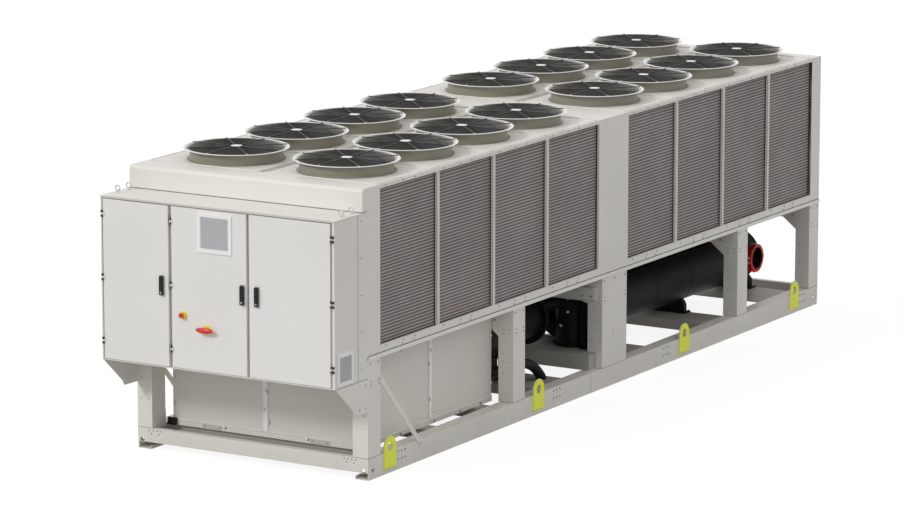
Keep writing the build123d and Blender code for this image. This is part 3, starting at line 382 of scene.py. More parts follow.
def dress_nodes():
    """Puts the finish of its record slot on every node of the frame, except three: the mid deck gets near-black
    painted shade, the level rails a paler copy of the frame paint as painted highlight, the floor beams a darker copy
    as painted shade.
    """
    slots = {part["node"]: part["material_slot"] for part in frame["record"]["subparts"]}
    # Painted light: these three nodes get painted shade or painted highlight instead of their own finish.
    shade_and_highlight_finishes = {"mid_deck": "deck_shade", "mid_rails": "mid_rail_highlight", "floor_beams": "floor_beam_shade"}
    for name, node in nodes.items():
        finish = materials[shade_and_highlight_finishes.get(name, slots[name])]
        node.data.materials.clear()
        node.data.materials.append(finish)


# Mesh building
def aimed(place, normal):
    """The place of a fitting whose own Z axis points along a surface normal."""
    return Matrix.Translation(place) @ Vector(normal).to_track_quat("Z", "Y").to_matrix().to_4x4()


def add_turned(mesh, outline, place, normal=(0, 0, 1), steps=12):
    """A half outline of (radius, height) points, turned about the normal through the place."""
    turn = aimed(place, normal)
    rings = []
    for radius, height in outline:
        if radius == 0:
            rings.append([mesh.verts.new(turn @ Vector((0, 0, height)))])
            continue
        ring = []
        for step in range(steps):
            angle = 2 * math.pi * step / steps
            ring.append(mesh.verts.new(turn @ Vector((radius * math.cos(angle), radius * math.sin(angle), height))))
        rings.append(ring)
    for low, high in zip(rings, rings[1:]):
        for step in range(steps):
            following = step + 1
            corners = (
                low[step % len(low)], low[following % len(low)],
                high[following % len(high)], high[step % len(high)],
            )
            corners = list(dict.fromkeys(corners))
            if len(corners) > 2:
                mesh.faces.new(corners)


def add_block(mesh, low, high, chamfer=0.001):
    """A chamfered box between two corners."""
    low, high = Vector(low), Vector(high)
    corners = bmesh.ops.create_cube(mesh, size=1.0)["verts"]
    size, centre = high - low, (low + high) / 2
    for corner in corners:
        corner.co = centre + Vector([corner.co[axis] * size[axis] for axis in range(3)])
    edges = list(dict.fromkeys(edge for corner in corners for edge in corner.link_edges))
    bmesh.ops.bevel(mesh, geom=edges, offset=chamfer, segments=1, affect="EDGES")


def add_wire(mesh, points, radius, sides=6, closed=False, up=(0, 0, 1)):
    """A round wire through a list of points."""
    rings = []
    count = len(points)
    for index, point in enumerate(points):
        before = points[index - 1] if closed or index else point
        after = points[(index + 1) % count] if closed or index < count - 1 else point
        along = (Vector(after) - Vector(before)).normalized()
        side = along.cross(Vector(up)).normalized()
        over = side.cross(along)
        ring = []
        for step in range(sides):
            angle = 2 * math.pi * step / sides
            ring.append(mesh.verts.new(Vector(point) + radius * (side * math.cos(angle) + over * math.sin(angle))))
        rings.append(ring)
    pairs = list(zip(rings, rings[1:])) + ([(rings[-1], rings[0])] if closed else [])
    for low, high in pairs:
        for step in range(sides):
            mesh.faces.new((low[step], low[(step + 1) % sides], high[(step + 1) % sides], high[step]))
    if not closed:
        mesh.faces.new(rings[0])
        mesh.faces.new(rings[-1])


def circle(centre, radius, steps, normal=(0, 0, 1)):
    turn = aimed(centre, normal)
    angles = [2 * math.pi * step / steps for step in range(steps)]
    return [turn @ Vector((radius * math.cos(angle), radius * math.sin(angle), 0)) for angle in angles]


def add_bolt(mesh, place, normal, size=0.009):
    """A hexagon head on a washer; the size is half the head's width."""
    washer = [(1.5 * size, 0), (1.5 * size, 0.25 * size), (0.9 * size, 0.32 * size)]
    head = [(1.0 * size, 0.25 * size), (1.0 * size, 0.95 * size), (0.82 * size, 1.15 * size), (0, 1.15 * size)]
    add_turned(mesh, washer, place, normal, 10)
    add_turned(mesh, head, place, normal, 6)


def add_screw(mesh, place, normal, radius=0.007):
    """A pan head with a recess in the middle."""
    head = [
        (radius, 0), (0.95 * radius, 0.35 * radius), (0.6 * radius, 0.6 * radius),
        (0.35 * radius, 0.62 * radius), (0.25 * radius, 0.3 * radius), (0, 0.3 * radius),
    ]
    add_turned(mesh, head, place, normal, 8)


def add_eyelet(mesh, place, normal, radius=0.007):
    """A shallow disc with a rolled edge: the mouth of a punched hole, whose near-black finish is painted shade, or a
    flush screw head.
    """
    outline = [(radius, 0), (0.92 * radius, 0.0006), (0.8 * radius, 0.0004), (0, 0.0002)]
    add_turned(mesh, outline, place, normal, 10)


def make_piece(name, mesh, material, body="unit", stands_for=(), crease=35.0):
    """Turns a built mesh into a piece that rides on a body, smooth up to the crease angle."""
    bmesh.ops.recalc_face_normals(mesh, faces=mesh.faces)
    for face in mesh.faces:
        face.smooth = True
    for edge in mesh.edges:
        edge.smooth = edge.calc_face_angle(0.0) < math.radians(crease)
    data = bpy.data.meshes.new(name)
    mesh.to_mesh(data)
    mesh.free()
    data.materials.append(materials[material])
    piece = bpy.data.objects.new(name, data)
    scene.collection.objects.link(piece)
    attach(piece, body)
    if stands_for:
        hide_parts(*stands_for)
    return piece


# Fans
def guard_mesh():
    """The level wire rings of one guard, welded under its bars."""
    mesh = bmesh.new()
    first, last, rings, wire = 0.062, ring_radius - 0.006, 19, 0.0019
    for index in range(rings):
        radius = first + (last - first) * index / (rings - 1)
        add_wire(mesh, circle((0, 0, 0), radius, 44), wire, 4, closed=True)
    data = bpy.data.meshes.new("guard_rings")
    for face in mesh.faces:
        face.smooth = True
    mesh.to_mesh(data)
    mesh.free()
    data.materials.append(materials["guard_wire"])
    return data


def fan_guards():
    data = guard_mesh()
    level = ring_top - 0.0016
    for number, centre in enumerate(fan_centres, start=1):
        piece = bpy.data.objects.new(f"guard_rings_{number:02d}", data)
        piece.location = (centre.x, centre.y, level)
        scene.collection.objects.link(piece)
        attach(piece, "unit")


def rim_clips():
    """A clip and screw where each guard bar meets the rim."""
    mesh = bmesh.new()
    bars = 8
    for centre in fan_centres:
        for index in range(bars):
            angle = 2 * math.pi * index / bars
            out = Vector((math.cos(angle), math.sin(angle), 0))
            place = Vector((centre.x, centre.y, ring_top + 0.0002)) + out * (ring_radius - 0.0105)
            add_turned(mesh, [(0.0095, 0), (0.0095, 0.004), (0.006, 0.0072), (0, 0.0074)], place, (0, 0, 1), 6)
    make_piece("guard_clips", mesh, "screw_bright")


def rotor_details():
    """Cooling ribs on the motor of each rotor."""
    ribs, inner, outer, rise = 20, 0.040, 0.108, 0.009
    for number in range(1, len(fan_centres) + 1):
        centre, top = middle(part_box(f"fan_{number:02d}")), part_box(f"fan_{number:02d}")[1].z
        mesh = bmesh.new()
        for index in range(ribs):
            angle = 2 * math.pi * index / ribs
            out = Vector((math.cos(angle), math.sin(angle), 0))
            side = Vector((-out.y, out.x, 0)) * 0.0022
            base = Vector((centre.x, centre.y, top))
            foot = [base + out * inner - side, base + out * outer - side, base + out * outer + side,
                    base + out * inner + side]
            crown = [corner + Vector((0, 0, rise)) for corner in foot]
            low = [mesh.verts.new(corner) for corner in foot]
            high = [mesh.verts.new(corner) for corner in crown]
            mesh.faces.new(high)
            for step in range(4):
                following = (step + 1) % 4
                mesh.faces.new((low[step], low[following], high[following], high[step]))
        make_piece(f"motor_ribs_{number:02d}", mesh, "fan_black", f"fan_{number:02d}")


def ring_feet():
    """The folded foot of each ring, screwed down to the deck."""
    mesh, screws = bmesh.new(), bmesh.new()
    throat = ring_radius - 0.055
    foot = [(throat + 0.0005, 0.012), (throat + 0.003, 0.004), (throat + 0.026, 0.0022), (throat + 0.026, 0.0)]
    for centre in fan_centres:
        place = (centre.x, centre.y, deck_top)
        add_turned(mesh, foot[::-1], place, (0, 0, 1), 48)
        for index in range(12):
            angle = 2 * math.pi * (index + 0.5) / 12
            reach = throat + 0.016
            spot = (centre.x + reach * math.cos(angle), centre.y + reach * math.sin(angle), deck_top + 0.0021)
            add_screw(screws, spot, (0, 0, 1), 0.006)
    make_piece("ring_feet", mesh, "ring_paint")
    make_piece("ring_foot_screws", screws, "screw_dull")


def deck_seams():
    """Folded seams between the deck panels, with screws along the outer lips."""
    lips, gaps, screws = bmesh.new(), bmesh.new(), bmesh.new()
    bays = sorted({(round(pair[0].y, 4), round(pair[1].y, 4)) for pair in coil_boxes})
    edge = half_width - 0.030
    for start, end in bays:
        for side in (-1, 1):
            for offset in (0.012, 0.034):
                x = side * offset
                add_block(lips, (x - 0.003, start, deck_top), (x + 0.003, end, deck_top + 0.006), 0.0012)
        add_block(gaps, (-0.009, start, deck_top), (0.009, end, deck_top + 0.0008), 0.0003)
        rows = sorted({round(centre.y, 3) for centre in fan_centres if start < centre.y < end})
        cuts = [start] + [(a + b) / 2 for a, b in zip(rows, rows[1:])] + [end]
        for y in cuts:
            for side in (-1, 1):
                low_x, high_x = sorted((side * 0.040, side * edge))
                add_block(lips, (low_x, y - 0.010, deck_top), (high_x, y - 0.005, deck_top + 0.006), 0.0012)
                add_block(lips, (low_x, y + 0.005, deck_top), (high_x, y + 0.010, deck_top + 0.006), 0.0012)
                add_block(gaps, (low_x, y - 0.005, deck_top), (high_x, y + 0.005, deck_top + 0.0008), 0.0003)
        for side in (-1, 1):
            low_x, high_x = sorted((side * edge, side * (edge + 0.004)))
            add_block(gaps, (low_x, start, deck_top), (high_x, end, deck_top + 0.0006), 0.0002)
            steps = int((end - start) / 0.31)
            for index in range(steps + 1):
                y = start + 0.05 + (end - start - 0.1) * index / steps
                add_screw(screws, (side * (half_width - 0.014), y, deck_top), (0, 0, 1), 0.006)
    make_piece("deck_lips", lips, "frame_paint")
    make_piece("deck_gaps", gaps, "dark_seam_and_shade")
    make_piece("deck_screws", screws, "screw_dull")


# Coil section
def coil_screws():
    """Screws on the head strips, sills and panels of both sides."""
    dark, bright = bmesh.new(), bmesh.new()
    coils = sorted({(round(pair[0].y, 4), round(pair[1].y, 4)) for pair in coil_boxes})
    head_z, sill_z, sill_low_z = deck_top - 0.016, mid_top + 0.047, mid_top + 0.018
    for start, end in coils:
        panel = (end - start) / 4
        for index in range(4):
            y0 = start + panel * index
            for side in (-1, 1):
                normal, x = (side, 0, 0), side * half_width
                for offset in (0.092, 0.368, 0.557):
                    add_screw(dark, (x, y0 + offset, head_z), normal, 0.008)
                    add_screw(dark, (x, y0 + offset, sill_z), normal, 0.008)
                for offset in (0.352, 0.541):
                    add_screw(dark, (x, y0 + offset, sill_low_z), normal, 0.008)
    for low, high in panel_boxes:
        side = 1 if low.x > 0 else -1
        rows = 6
        for y in (low.y + 0.022, high.y - 0.022):
            for index in range(rows):
                z = low.z + 0.06 + (high.z - low.z - 0.12) * index / (rows - 1)
                add_screw(bright, (side * half_width, y, z), (side, 0, 0), 0.007)
    make_piece("coil_screws", dark, "screw_dull")
    make_piece("panel_screws", bright, "screw_bright")


def divider_ridges():
    """The folded ridge down each divider, in a paler paint as painted highlight, and painted shade in the recess
    beside each divider and round each coil.
    """
    ridges, gaps = bmesh.new(), bmesh.new()
    for low, high in solid_boxes("coil_frames"):
        if high.z - low.z < 1.0:
            continue
        side = 1 if low.x > 0 else -1
        outer = high.x if side > 0 else -low.x
        for y0, y1 in ((low.y, low.y + 0.006), (high.y - 0.006, high.y)):
            tip, root = sorted((side * (outer + 0.004), side * (outer - 0.002)))
            add_block(ridges, (tip, y0, low.z + 0.01), (root, y1, high.z - 0.01), 0.001)
        # Painted shade: near-black strips in the recess beside each divider and, below, round the edges of each coil.
        face = outer - 0.024
        tip, root = sorted((side * face, side * (face + 0.003)))
        for y0, y1 in ((low.y - 0.010, low.y), (high.y, high.y + 0.010)):
            add_block(gaps, (tip, y0, low.z), (root, y1, high.z), 0.0008)
    for low, high in coil_boxes:
        side = 1 if low.x > 0 else -1
        outer = half_width - 0.024
        tip, root = sorted((side * outer, side * (outer + 0.004)))
        z0, z1 = mid_top + 0.067, deck_top - 0.033
        add_block(gaps, (tip, low.y, z0), (root, low.y + 0.014, z1), 0.0008)
        add_block(gaps, (tip, high.y - 0.014, z0), (root, high.y, z1), 0.0008)
        add_block(gaps, (tip, low.y, z0), (root, high.y, z0 + 0.012), 0.0008)
        add_block(gaps, (tip, low.y, z1 - 0.008), (root, high.y, z1), 0.0008)
    make_piece("divider_ridges", ridges, "trim_highlight")
    make_piece("coil_recess_shade", gaps, "dark_seam_and_shade")


# Base frame and posts
def base_holes():
    """Groups of punched holes in the rails and posts, near-black discs of painted shade, and the edges of the
    handling holes.
    """
    holes, rims = bmesh.new(), bmesh.new()
    lugs = solid_boxes("lifting_lugs")
    groups = {0: 0.146, 1: 0.290, 2: -0.400, 3: 0.130}
    stations = sorted({round((low.y + high.y) / 2, 3) for low, high in lugs})
    for index, station in enumerate(stations):
        for side in (-1, 1):
            for column in range(3):
                y = station + groups[index] + 0.055 * column
                for z in (rail_top - 0.100, rail_top - 0.033):
                    add_eyelet(holes, (side * half_width, y, z), (side, 0, 0), 0.0085)
    for low, high in post_boxes:
        side = 1 if low.x > 0 else -1
        width = high.y - low.y
        for y in (low.y + 0.052, high.y - 0.030):
            for z in (frame_top - 0.185, frame_top - 0.218):
                add_eyelet(holes, (side * half_width, y, z), (side, 0, 0), 0.007)
        for x in (low.x + 0.045, high.x - 0.035):
            for z in (0.84, 0.80, 0.62, 0.55, 0.44):
                add_eyelet(holes, (x, low.y, z), (0, -1, 0), 0.0045)
        if width < 0.3:
            continue
        for z in (0.52, 0.49):
            add_eyelet(holes, (side * half_width, low.y + width * 0.45, z), (side, 0, 0), 0.006)
    beams = solid_boxes("base_end_beams")
    rear_sink = 0.0014
    for (low, high), normal in zip(beams, ((0, -1, 0), (0, 1, 0))):
        y = low.y if normal[1] < 0 else high.y - rear_sink
        for side in (-1, 1):
            for offset in (0.12, 0.16, 0.20, 0.235):
                add_eyelet(holes, (side * (half_width - offset), y, high.z - 0.020), normal, 0.006)
            for offset in (0.14, 0.215):
                add_eyelet(holes, (side * (half_width - offset), y, high.z - 0.048), normal, 0.006)
            add_turned(rims, [(0.0245, 0), (0.024, 0.0015), (0.0203, 0.0015), (0.0203, -0.004)],
                       (side * (half_width - 0.045), y, 0.080), normal, 24)
    for side in (-1, 1):
        for y in (front_y + 0.078, rear_y - 0.078):
            add_turned(rims, [(0.0245, 0), (0.024, 0.0015), (0.0203, 0.0015), (0.0203, -0.004)],
                       (side * half_width, y, 0.080), (side, 0, 0), 24)
    # Painted shade: the near-black discs stand in for the dark inside of each hole.
    make_piece("hole_shade_discs", holes, "rubber_and_hole_shade")
    make_piece("handling_hole_rims", rims, "frame_paint")


def frame_bolts():
    """Bolts of the cross beams, posts, braces and the header."""
    mesh = bmesh.new()
    beams = solid_boxes("cross_beams")
    header = min(beams, key=lambda pair: pair[1].y - pair[0].y)
    for low, high in beams:
        for side in (-1, 1):
            if low.y == header[0].y:
                spots = [(high.x - 0.035, low.z + 0.030), (high.x - 0.125, low.z + 0.030)]
            elif low.y < header[0].y or low.y > header[1].y + 0.1:
                spots = [(high.x - 0.035, low.z + 0.030), (high.x - 0.035, high.z - 0.030)]
            else:
                continue
            for x, z in spots:
                add_bolt(mesh, (side * x, low.y, z), (0, -1, 0), 0.007)
    for low, high in post_boxes:
        side = 1 if low.x > 0 else -1
        steps = max(2, int((high.y - low.y) / 0.15))
        for index in range(steps):
            y = low.y + 0.035 + (high.y - low.y - 0.07) * index / (steps - 1)
            add_bolt(mesh, (side * half_width, y, mid_top - 0.066), (side, 0, 0), 0.006)
    brace = [pair for pair in solid_boxes("gussets_and_braces") if pair[1].y - pair[0].y > 0.3]
    for low, high in brace:
        side = 1 if low.x > 0 else -1
        x = side * max(abs(low.x), abs(high.x))
        add_bolt(mesh, (x, low.y + 0.030, high.z - 0.032), (side, 0, 0), 0.005)
        add_bolt(mesh, (x, high.y - 0.030, low.z + 0.032), (side, 0, 0), 0.005)
    make_piece("frame_bolts", mesh, "screw_dull")


def frame_seams():
    """Dark joint lines: the rail seam, the feet of the posts and the line above the level rail."""
    dark, grey = bmesh.new(), bmesh.new()
    thick = 0.0007
    seam_y = min(high.y for low, high in solid_boxes("base_rails"))
    for side in (-1, 1):
        x0, x1 = sorted((side * half_width, side * (half_width + thick)))
        add_block(grey, (x0, seam_y - 0.002, 0.002), (x1, seam_y + 0.002, rail_top), 0.0002)
        add_block(dark, (x0, front_y + 0.004, mid_top - 0.003), (x1, rear_y - 0.004, mid_top + 0.006), 0.0002)
    for low, high in post_boxes:
        side = 1 if low.x > 0 else -1
        x0, x1 = sorted((side * half_width, side * (half_width + thick)))
        add_block(grey, (x0, low.y, rail_top - 0.001), (x1, high.y, rail_top + 0.003), 0.0002)
        add_block(grey, (low.x, low.y - thick, rail_top - 0.001), (high.x, low.y, rail_top + 0.003), 0.0002)
    make_piece("frame_gaps", dark, "dark_seam_and_shade")
    make_piece("frame_seams", grey, "grey_seam_and_shadow")


def lug_welds():
    """A rolled weld bead down both edges of each lifting lug."""
    mesh = bmesh.new()
    for low, high in solid_boxes("lifting_lugs"):
        side = 1 if low.x > 0 else -1
        x = side * (half_width + 0.001)
        for y in (low.y - 0.001, high.y + 0.001):
            steps = 12
            points = [(x, y + 0.0004 * (-1) ** index, low.z + 0.002 + (rail_top - low.z - 0.004) * index / steps)
                      for index in range(steps + 1)]
            add_wire(mesh, points, 0.0035, 6, up=(0, 1, 0))
    make_piece("lug_welds", mesh, "lug_paint")


# Sound enclosure
def add_clamp(mesh, clamp_shadows, place, normal, size=0.014):
    """A pale round clamp on a grey disc, a painted shadow round its foot."""
    # Painted shadow: a grey disc a little wider than the clamp.
    add_turned(clamp_shadows, [(1.2 * size, 0), (1.2 * size, 0.0012), (0, 0.0014)], place, normal, 12)
    head = [(size, 0.001), (size, 0.55 * size), (0.65 * size, 0.9 * size), (0, 0.95 * size)]
    add_turned(mesh, head, place, normal, 10)


def enclosure_details():
    """Joint strips, clamps on discs of painted shadow and bolts, sill lips in a paler paint as painted highlight,
    pads and the corner buffers.
    """
    clamps, clamp_shadows, bolts, lips, pads, strips, buffers = [bmesh.new() for _ in range(7)]
    low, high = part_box("enclosure_panels")
    strip_low, strip_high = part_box("enclosure_frame")
    joint_y = front_y + 1.358
    front = strip_low.y
    sill_top = rail_top + 0.054
    add_block(strips, (-0.021, front - 0.0012, sill_top), (0.021, front, high.z - 0.002), 0.0006)
    for x, z in ((0.013, 0.588), (-0.013, 0.428), (0.030, 0.326), (-0.013, 0.730), (0.013, 0.880)):
        add_clamp(clamps, clamp_shadows, (x, front - 0.001, z), (0, -1, 0))
    for side in (-1, 1):
        for z in (0.381, 0.620, 0.860):
            add_clamp(clamps, clamp_shadows, (side * (high.x - 0.012), low.y, z), (0, -1, 0), 0.012)
        add_clamp(clamps, clamp_shadows, (side * 0.418, front + 0.004, 0.226), (0, -1, 0), 0.015)
        add_block(pads, (side * 0.545 - 0.10, low.y - 0.004, rail_top + 0.008),
                  (side * 0.545 + 0.10, low.y, rail_top + 0.046), 0.001)
        for offset in (-0.075, 0.075):
            add_screw(bolts, (side * 0.545 + offset, low.y - 0.004, rail_top + 0.027), (0, -1, 0), 0.008)
        edge = side * low.x
        add_block(buffers, (edge - 0.045, low.y - 0.030, rail_top), (edge + 0.045, low.y - 0.004, 0.252), 0.006)
        edge = side * (low.x - 0.040)
        add_block(buffers, (edge - 0.020, low.y - 0.020, rail_top), (edge + 0.020, low.y + 0.10, 0.205), 0.006)
        x = side * strip_high.x
        tip, root = sorted((x, x + side * 0.0012))
        add_block(strips, (tip, joint_y - 0.021, sill_top), (root, joint_y + 0.021, high.z - 0.002), 0.0006)
        for offset, z in ((0.010, 0.832), (-0.020, 0.722), (-0.010, 0.409), (0.030, 0.303)):
            add_clamp(clamps, clamp_shadows, (x + side * 0.001, joint_y + offset, z), (side, 0, 0))
        for z in (0.355, 0.775):
            add_clamp(clamps, clamp_shadows, (side * high.x, high.y - 0.022, z), (side, 0, 0))
        for y in (0.858, 1.417, 1.852, 2.200):
            add_bolt(bolts, (x, front_y + y, rail_top + 0.018), (side, 0, 0), 0.008)
        tip, root = sorted((x, x + side * 0.006))
        add_block(lips, (tip, low.y, rail_top + 0.040), (root, high.y, rail_top + 0.046), 0.001)
        tip, root = sorted((side * high.x, side * (high.x + 0.020)))
        add_block(pads, (tip, front_y + 0.853, frame_top - 0.10), (root, front_y + 0.893, frame_top - 0.085), 0.002)
    add_block(lips, (low.x, low.y - 0.006, rail_top + 0.046), (high.x, low.y, rail_top + 0.054), 0.001)
    make_piece("enclosure_clamps", clamps, "strip_white")
    make_piece("clamp_shadow_discs", clamp_shadows, "grey_seam_and_shadow")
    make_piece("enclosure_bolts", bolts, "screw_dull")
    make_piece("enclosure_lips", lips, "trim_highlight")
    make_piece("enclosure_strips", strips, "strip_white")
    make_piece("enclosure_pads", pads, "pad_olive")
    make_piece("enclosure_buffers", buffers, "rubber_and_hole_shade")


# Machines in the open bays
def flanged(mesh, place, normal, radius, thick, bolts, size, bright=None, bright_steps=()):
    """A round flange with a ring of bolts, some of them bright."""
    add_turned(mesh, [(radius, -thick), (radius, 0), (0, 0.001)], place, normal, 36)
    turn = aimed(place, normal)
    for index in range(bolts):
        angle = 2 * math.pi * index / bolts
        spot = turn @ Vector((0.82 * radius * math.cos(angle), 0.82 * radius * math.sin(angle), 0))
        add_bolt(bright if index in bright_steps else mesh, spot, normal, size)


def compressor_details():
    """Bolts on the compressor's flange and cover, the separator's foot ring, its inlet flange and sight glass."""
    black, bright = bmesh.new(), bmesh.new()
    solids = solid_boxes("compressor")
    end = solids[0][1].y
    centre_x, centre_z, bolt_circle = 0.514, 0.654, 0.236
    for index in range(24):
        angle = 2 * math.pi * index / 24
        place = (centre_x + bolt_circle * math.cos(angle), end - 0.045, centre_z + bolt_circle * math.sin(angle))
        add_bolt(black, place, (0, 1, 0), 0.012)
    flanged(black, (centre_x - 0.02, end + 0.006, centre_z + 0.02), (0, 1, 0), 0.100, 0.03, 8, 0.008)
    low, high = solids[1]
    axis = middle(solids[1])
    radius = (high.x - low.x) / 2
    foot = [(radius - 0.004, 0), (radius + 0.030, 0), (radius + 0.030, 0.022), (radius - 0.004, 0.024)]
    add_turned(black, foot, (axis.x, axis.y, low.z), (0, 0, 1), 36)
    for index in range(16):
        angle = 2 * math.pi * index / 16
        out = Vector((math.cos(angle), math.sin(angle), 0)) * (radius + 0.016)
        add_bolt(black, (axis.x + out.x, axis.y + out.y, low.z + 0.022), (0, 0, 1), 0.011)
    toward = Vector((0.21, -0.98, 0)).normalized()
    face = Vector((axis.x, axis.y, 0)) + toward * (radius + 0.020)
    flanged(black, (face.x, face.y, 0.722), toward, 0.076, 0.05, 8, 0.009, bright, (2, 6))
    toward = Vector((-0.19, -0.98, 0)).normalized()
    face = Vector((axis.x, axis.y, 0.525)) + toward * (radius - 0.002)
    add_turned(black, [(0.034, 0), (0.034, 0.012), (0, 0.013)], face, toward, 16)
    add_turned(bright, [(0.015, 0), (0.014, 0.018), (0.006, 0.020), (0, 0.016)], face, toward, 12)
    make_piece("compressor_fittings", black, "black_parts")
    make_piece("bright_fittings", bright, "screw_bright")


def oil_cooler():
    """A plate exchanger between the separator and the wide post, on the raised beam."""
    mesh = bmesh.new()
    beam = max(solid_boxes("floor_beams"), key=lambda pair: pair[1].z)
    top, start = beam[1].z, beam[0].y + 0.190
    x0, length, height, plates, pitch = 0.900, 0.30, 0.50, 6, 0.015
    for index in range(plates):
        x = x0 + pitch * index
        add_block(mesh, (x, start, top), (x + pitch - 0.004, start + length, top + height), 0.002)
    add_block(mesh, (x0 + 0.004, start + 0.008, top + 0.01),
              (x0 + pitch * plates - 0.006, start + length - 0.008, top + height - 0.01), 0.002)
    make_piece("oil_cooler", mesh, "black_parts")


def evaporator_lagging():
    """Raised joints of the insulation round the shell and along its crown."""
    mesh = bmesh.new()
    low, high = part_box("evaporator_shell")
    radius = (high.z - low.z) / 2
    centre_x, centre_z = (low.x + high.x) / 2, (low.z + high.z) / 2
    joints = 5
    for index in range(joints + 1):
        y = low.y + 0.012 + (high.y - low.y - 0.024) * index / joints
        outline = [(radius - 0.003, -0.016), (radius + 0.0025, -0.014), (radius + 0.0025, 0.014),
                   (radius - 0.003, 0.016)]
        add_turned(mesh, outline, (centre_x, y, centre_z), (0, 1, 0), 56)
    for angle in (math.radians(62), math.radians(-118)):
        out = Vector((math.cos(angle), 0, math.sin(angle)))
        side = Vector((-out.z, 0, out.x))
        centre = Vector((centre_x, 0, centre_z))
        corners = []
        for across, lift in ((-0.016, -0.004), (-0.012, 0.002), (0.012, 0.002), (0.016, -0.004)):
            corners.append(centre + out * (radius + lift) + side * across)
        front = [mesh.verts.new(corner + Vector((0, low.y + 0.004, 0))) for corner in corners]
        rear = [mesh.verts.new(corner + Vector((0, high.y - 0.004, 0))) for corner in corners]
        for step in range(3):
            mesh.faces.new((front[step], front[step + 1], rear[step + 1], rear[step]))
        mesh.faces.new(front)
        mesh.faces.new(rear)
    make_piece("lagging_joints", mesh, "insulation")


def pipe_lagging():
    """The insulation collar where the drain pipe leaves the enclosure."""
    mesh = bmesh.new()
    drain = min(solid_boxes("refrigerant_pipes"), key=lambda pair: pair[0].z)
    radius = 0.045
    x = (drain[0].x + drain[1].x) / 2
    z = drain[1].z - radius
    add_turned(mesh, [(radius, 0), (radius + 0.014, 0.002), (radius + 0.014, 0.020), (radius, 0.024)],
               (x, drain[0].y, z), (0, 1, 0), 28)
    make_piece("pipe_collars", mesh, "insulation")


def coupling_details():
    """Ribs, rolled edges and clamp bolts of the two grooved couplings."""
    red, bright = bmesh.new(), bmesh.new()
    for low, high in solid_boxes("pipe_couplings"):
        spot = middle((low, high))
        radius = (high.z - low.z) / 2
        for offset in (-0.033, 0.033):
            tip = 0.0 if offset < 0 else -0.004
            add_wire(red, circle((spot.x + offset + tip, spot.y, spot.z), radius - 0.003, 40, (1, 0, 0)),
                     0.0045, 8, closed=True, up=(1, 0, 0))
        for index in range(10):
            angle = 2 * math.pi * (index + 0.5) / 10
            out = Vector((0, math.cos(angle), math.sin(angle)))
            place = spot + out * (radius - 0.004)
            add_turned(red, [(0.014, 0), (0.012, 0.010), (0.006, 0.014), (0, 0.014)], place, out, 10)
        for side in (-1, 1):
            for across in (-0.014, 0.014):
                y = spot.y + side * (radius + 0.012)
                place = (spot.x + across, y, spot.z + 0.022)
                add_bolt(bright, place, (0, 0, 1), 0.007)
                add_bolt(bright, (place[0], y, spot.z - 0.022), (0, 0, -1), 0.007)
    make_piece("coupling_ribs", red, "coupling_red")
    make_piece("coupling_bolts", bright, "screw_bright")


def saddle_details():
    """Foot plates and bolts of the evaporator saddles."""
    mesh = bmesh.new()
    for low, high in solid_boxes("evaporator_saddles"):
        plate_low, plate_high = (low.x - 0.030, low.y - 0.035, low.z), (high.x + 0.030, high.y + 0.035, low.z + 0.010)
        add_block(mesh, plate_low, plate_high, 0.002)
        for x in (low.x - 0.012, high.x + 0.012):
            for y in (low.y - 0.018, high.y + 0.018):
                add_bolt(mesh, (x, y, low.z + 0.010), (0, 0, 1), 0.009)
    make_piece("saddle_feet", mesh, "black_parts")


# Control cabinet
def door_seals():
    """A rubber seal round each door opening."""
    mesh = bmesh.new()
    thick, width, inset = 0.0065, 0.012, 0.006
    for door in ("door_left", "door_middle", "door_right"):
        low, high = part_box(door)
        back = high.y
        panel_low_x, panel_high_x = low.x, high.x
        if door == "door_right":
            panel_high_x -= 0.017
        else:
            panel_low_x += 0.012 if door == "door_left" else 0.013
        x0, x1 = panel_low_x + inset, panel_high_x - inset
        z0, z1 = low.z + inset, high.z - inset
        y0, y1 = back + 0.0008, back + 0.0008 + thick
        add_block(mesh, (x0, y0, z0), (x0 + width, y1, z1), 0.002)
        add_block(mesh, (x1 - width, y0, z0), (x1, y1, z1), 0.002)
        add_block(mesh, (x0 + width, y0, z0), (x1 - width, y1, z0 + width), 0.002)
        add_block(mesh, (x0 + width, y0, z1 - width), (x1 - width, y1, z1), 0.002)
    make_piece("door_seals", mesh, "rubber_and_hole_shade")


def handle_details():
    """The dish behind each lever and its lock barrel."""
    for door in ("left", "middle", "right"):
        low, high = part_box(f"handle_{door}")
        face = high.y
        x, half_x = (low.x + high.x) / 2, (high.x - low.x) / 2
        dish, lock = bmesh.new(), bmesh.new()
        reach = half_x + 0.007
        rim = 0.006
        z0, z1 = low.z - 0.007, high.z + 0.007
        front = face - 0.006
        add_block(dish, (x - reach, front, z0), (x - reach + rim, face, z1), 0.0015)
        add_block(dish, (x + reach - rim, front, z0), (x + reach, face, z1), 0.0015)
        add_block(dish, (x - reach + rim, front, z0), (x + reach - rim, face, z0 + rim), 0.0015)
        add_block(dish, (x - reach + rim, front, z1 - rim), (x + reach - rim, face, z1), 0.0015)
        make_piece(f"handle_dish_{door}", dish, "filter_grey", f"door_{door}")
        add_turned(lock, [(0.0085, 0), (0.0085, 0.0004), (0.0055, 0.0006), (0.005, -0.001), (0, -0.001)],
                   (x, low.y, low.z + 0.020), (0, -1, 0), 20)
        make_piece(f"lock_{door}", lock, "screw_bright", f"handle_{door}")


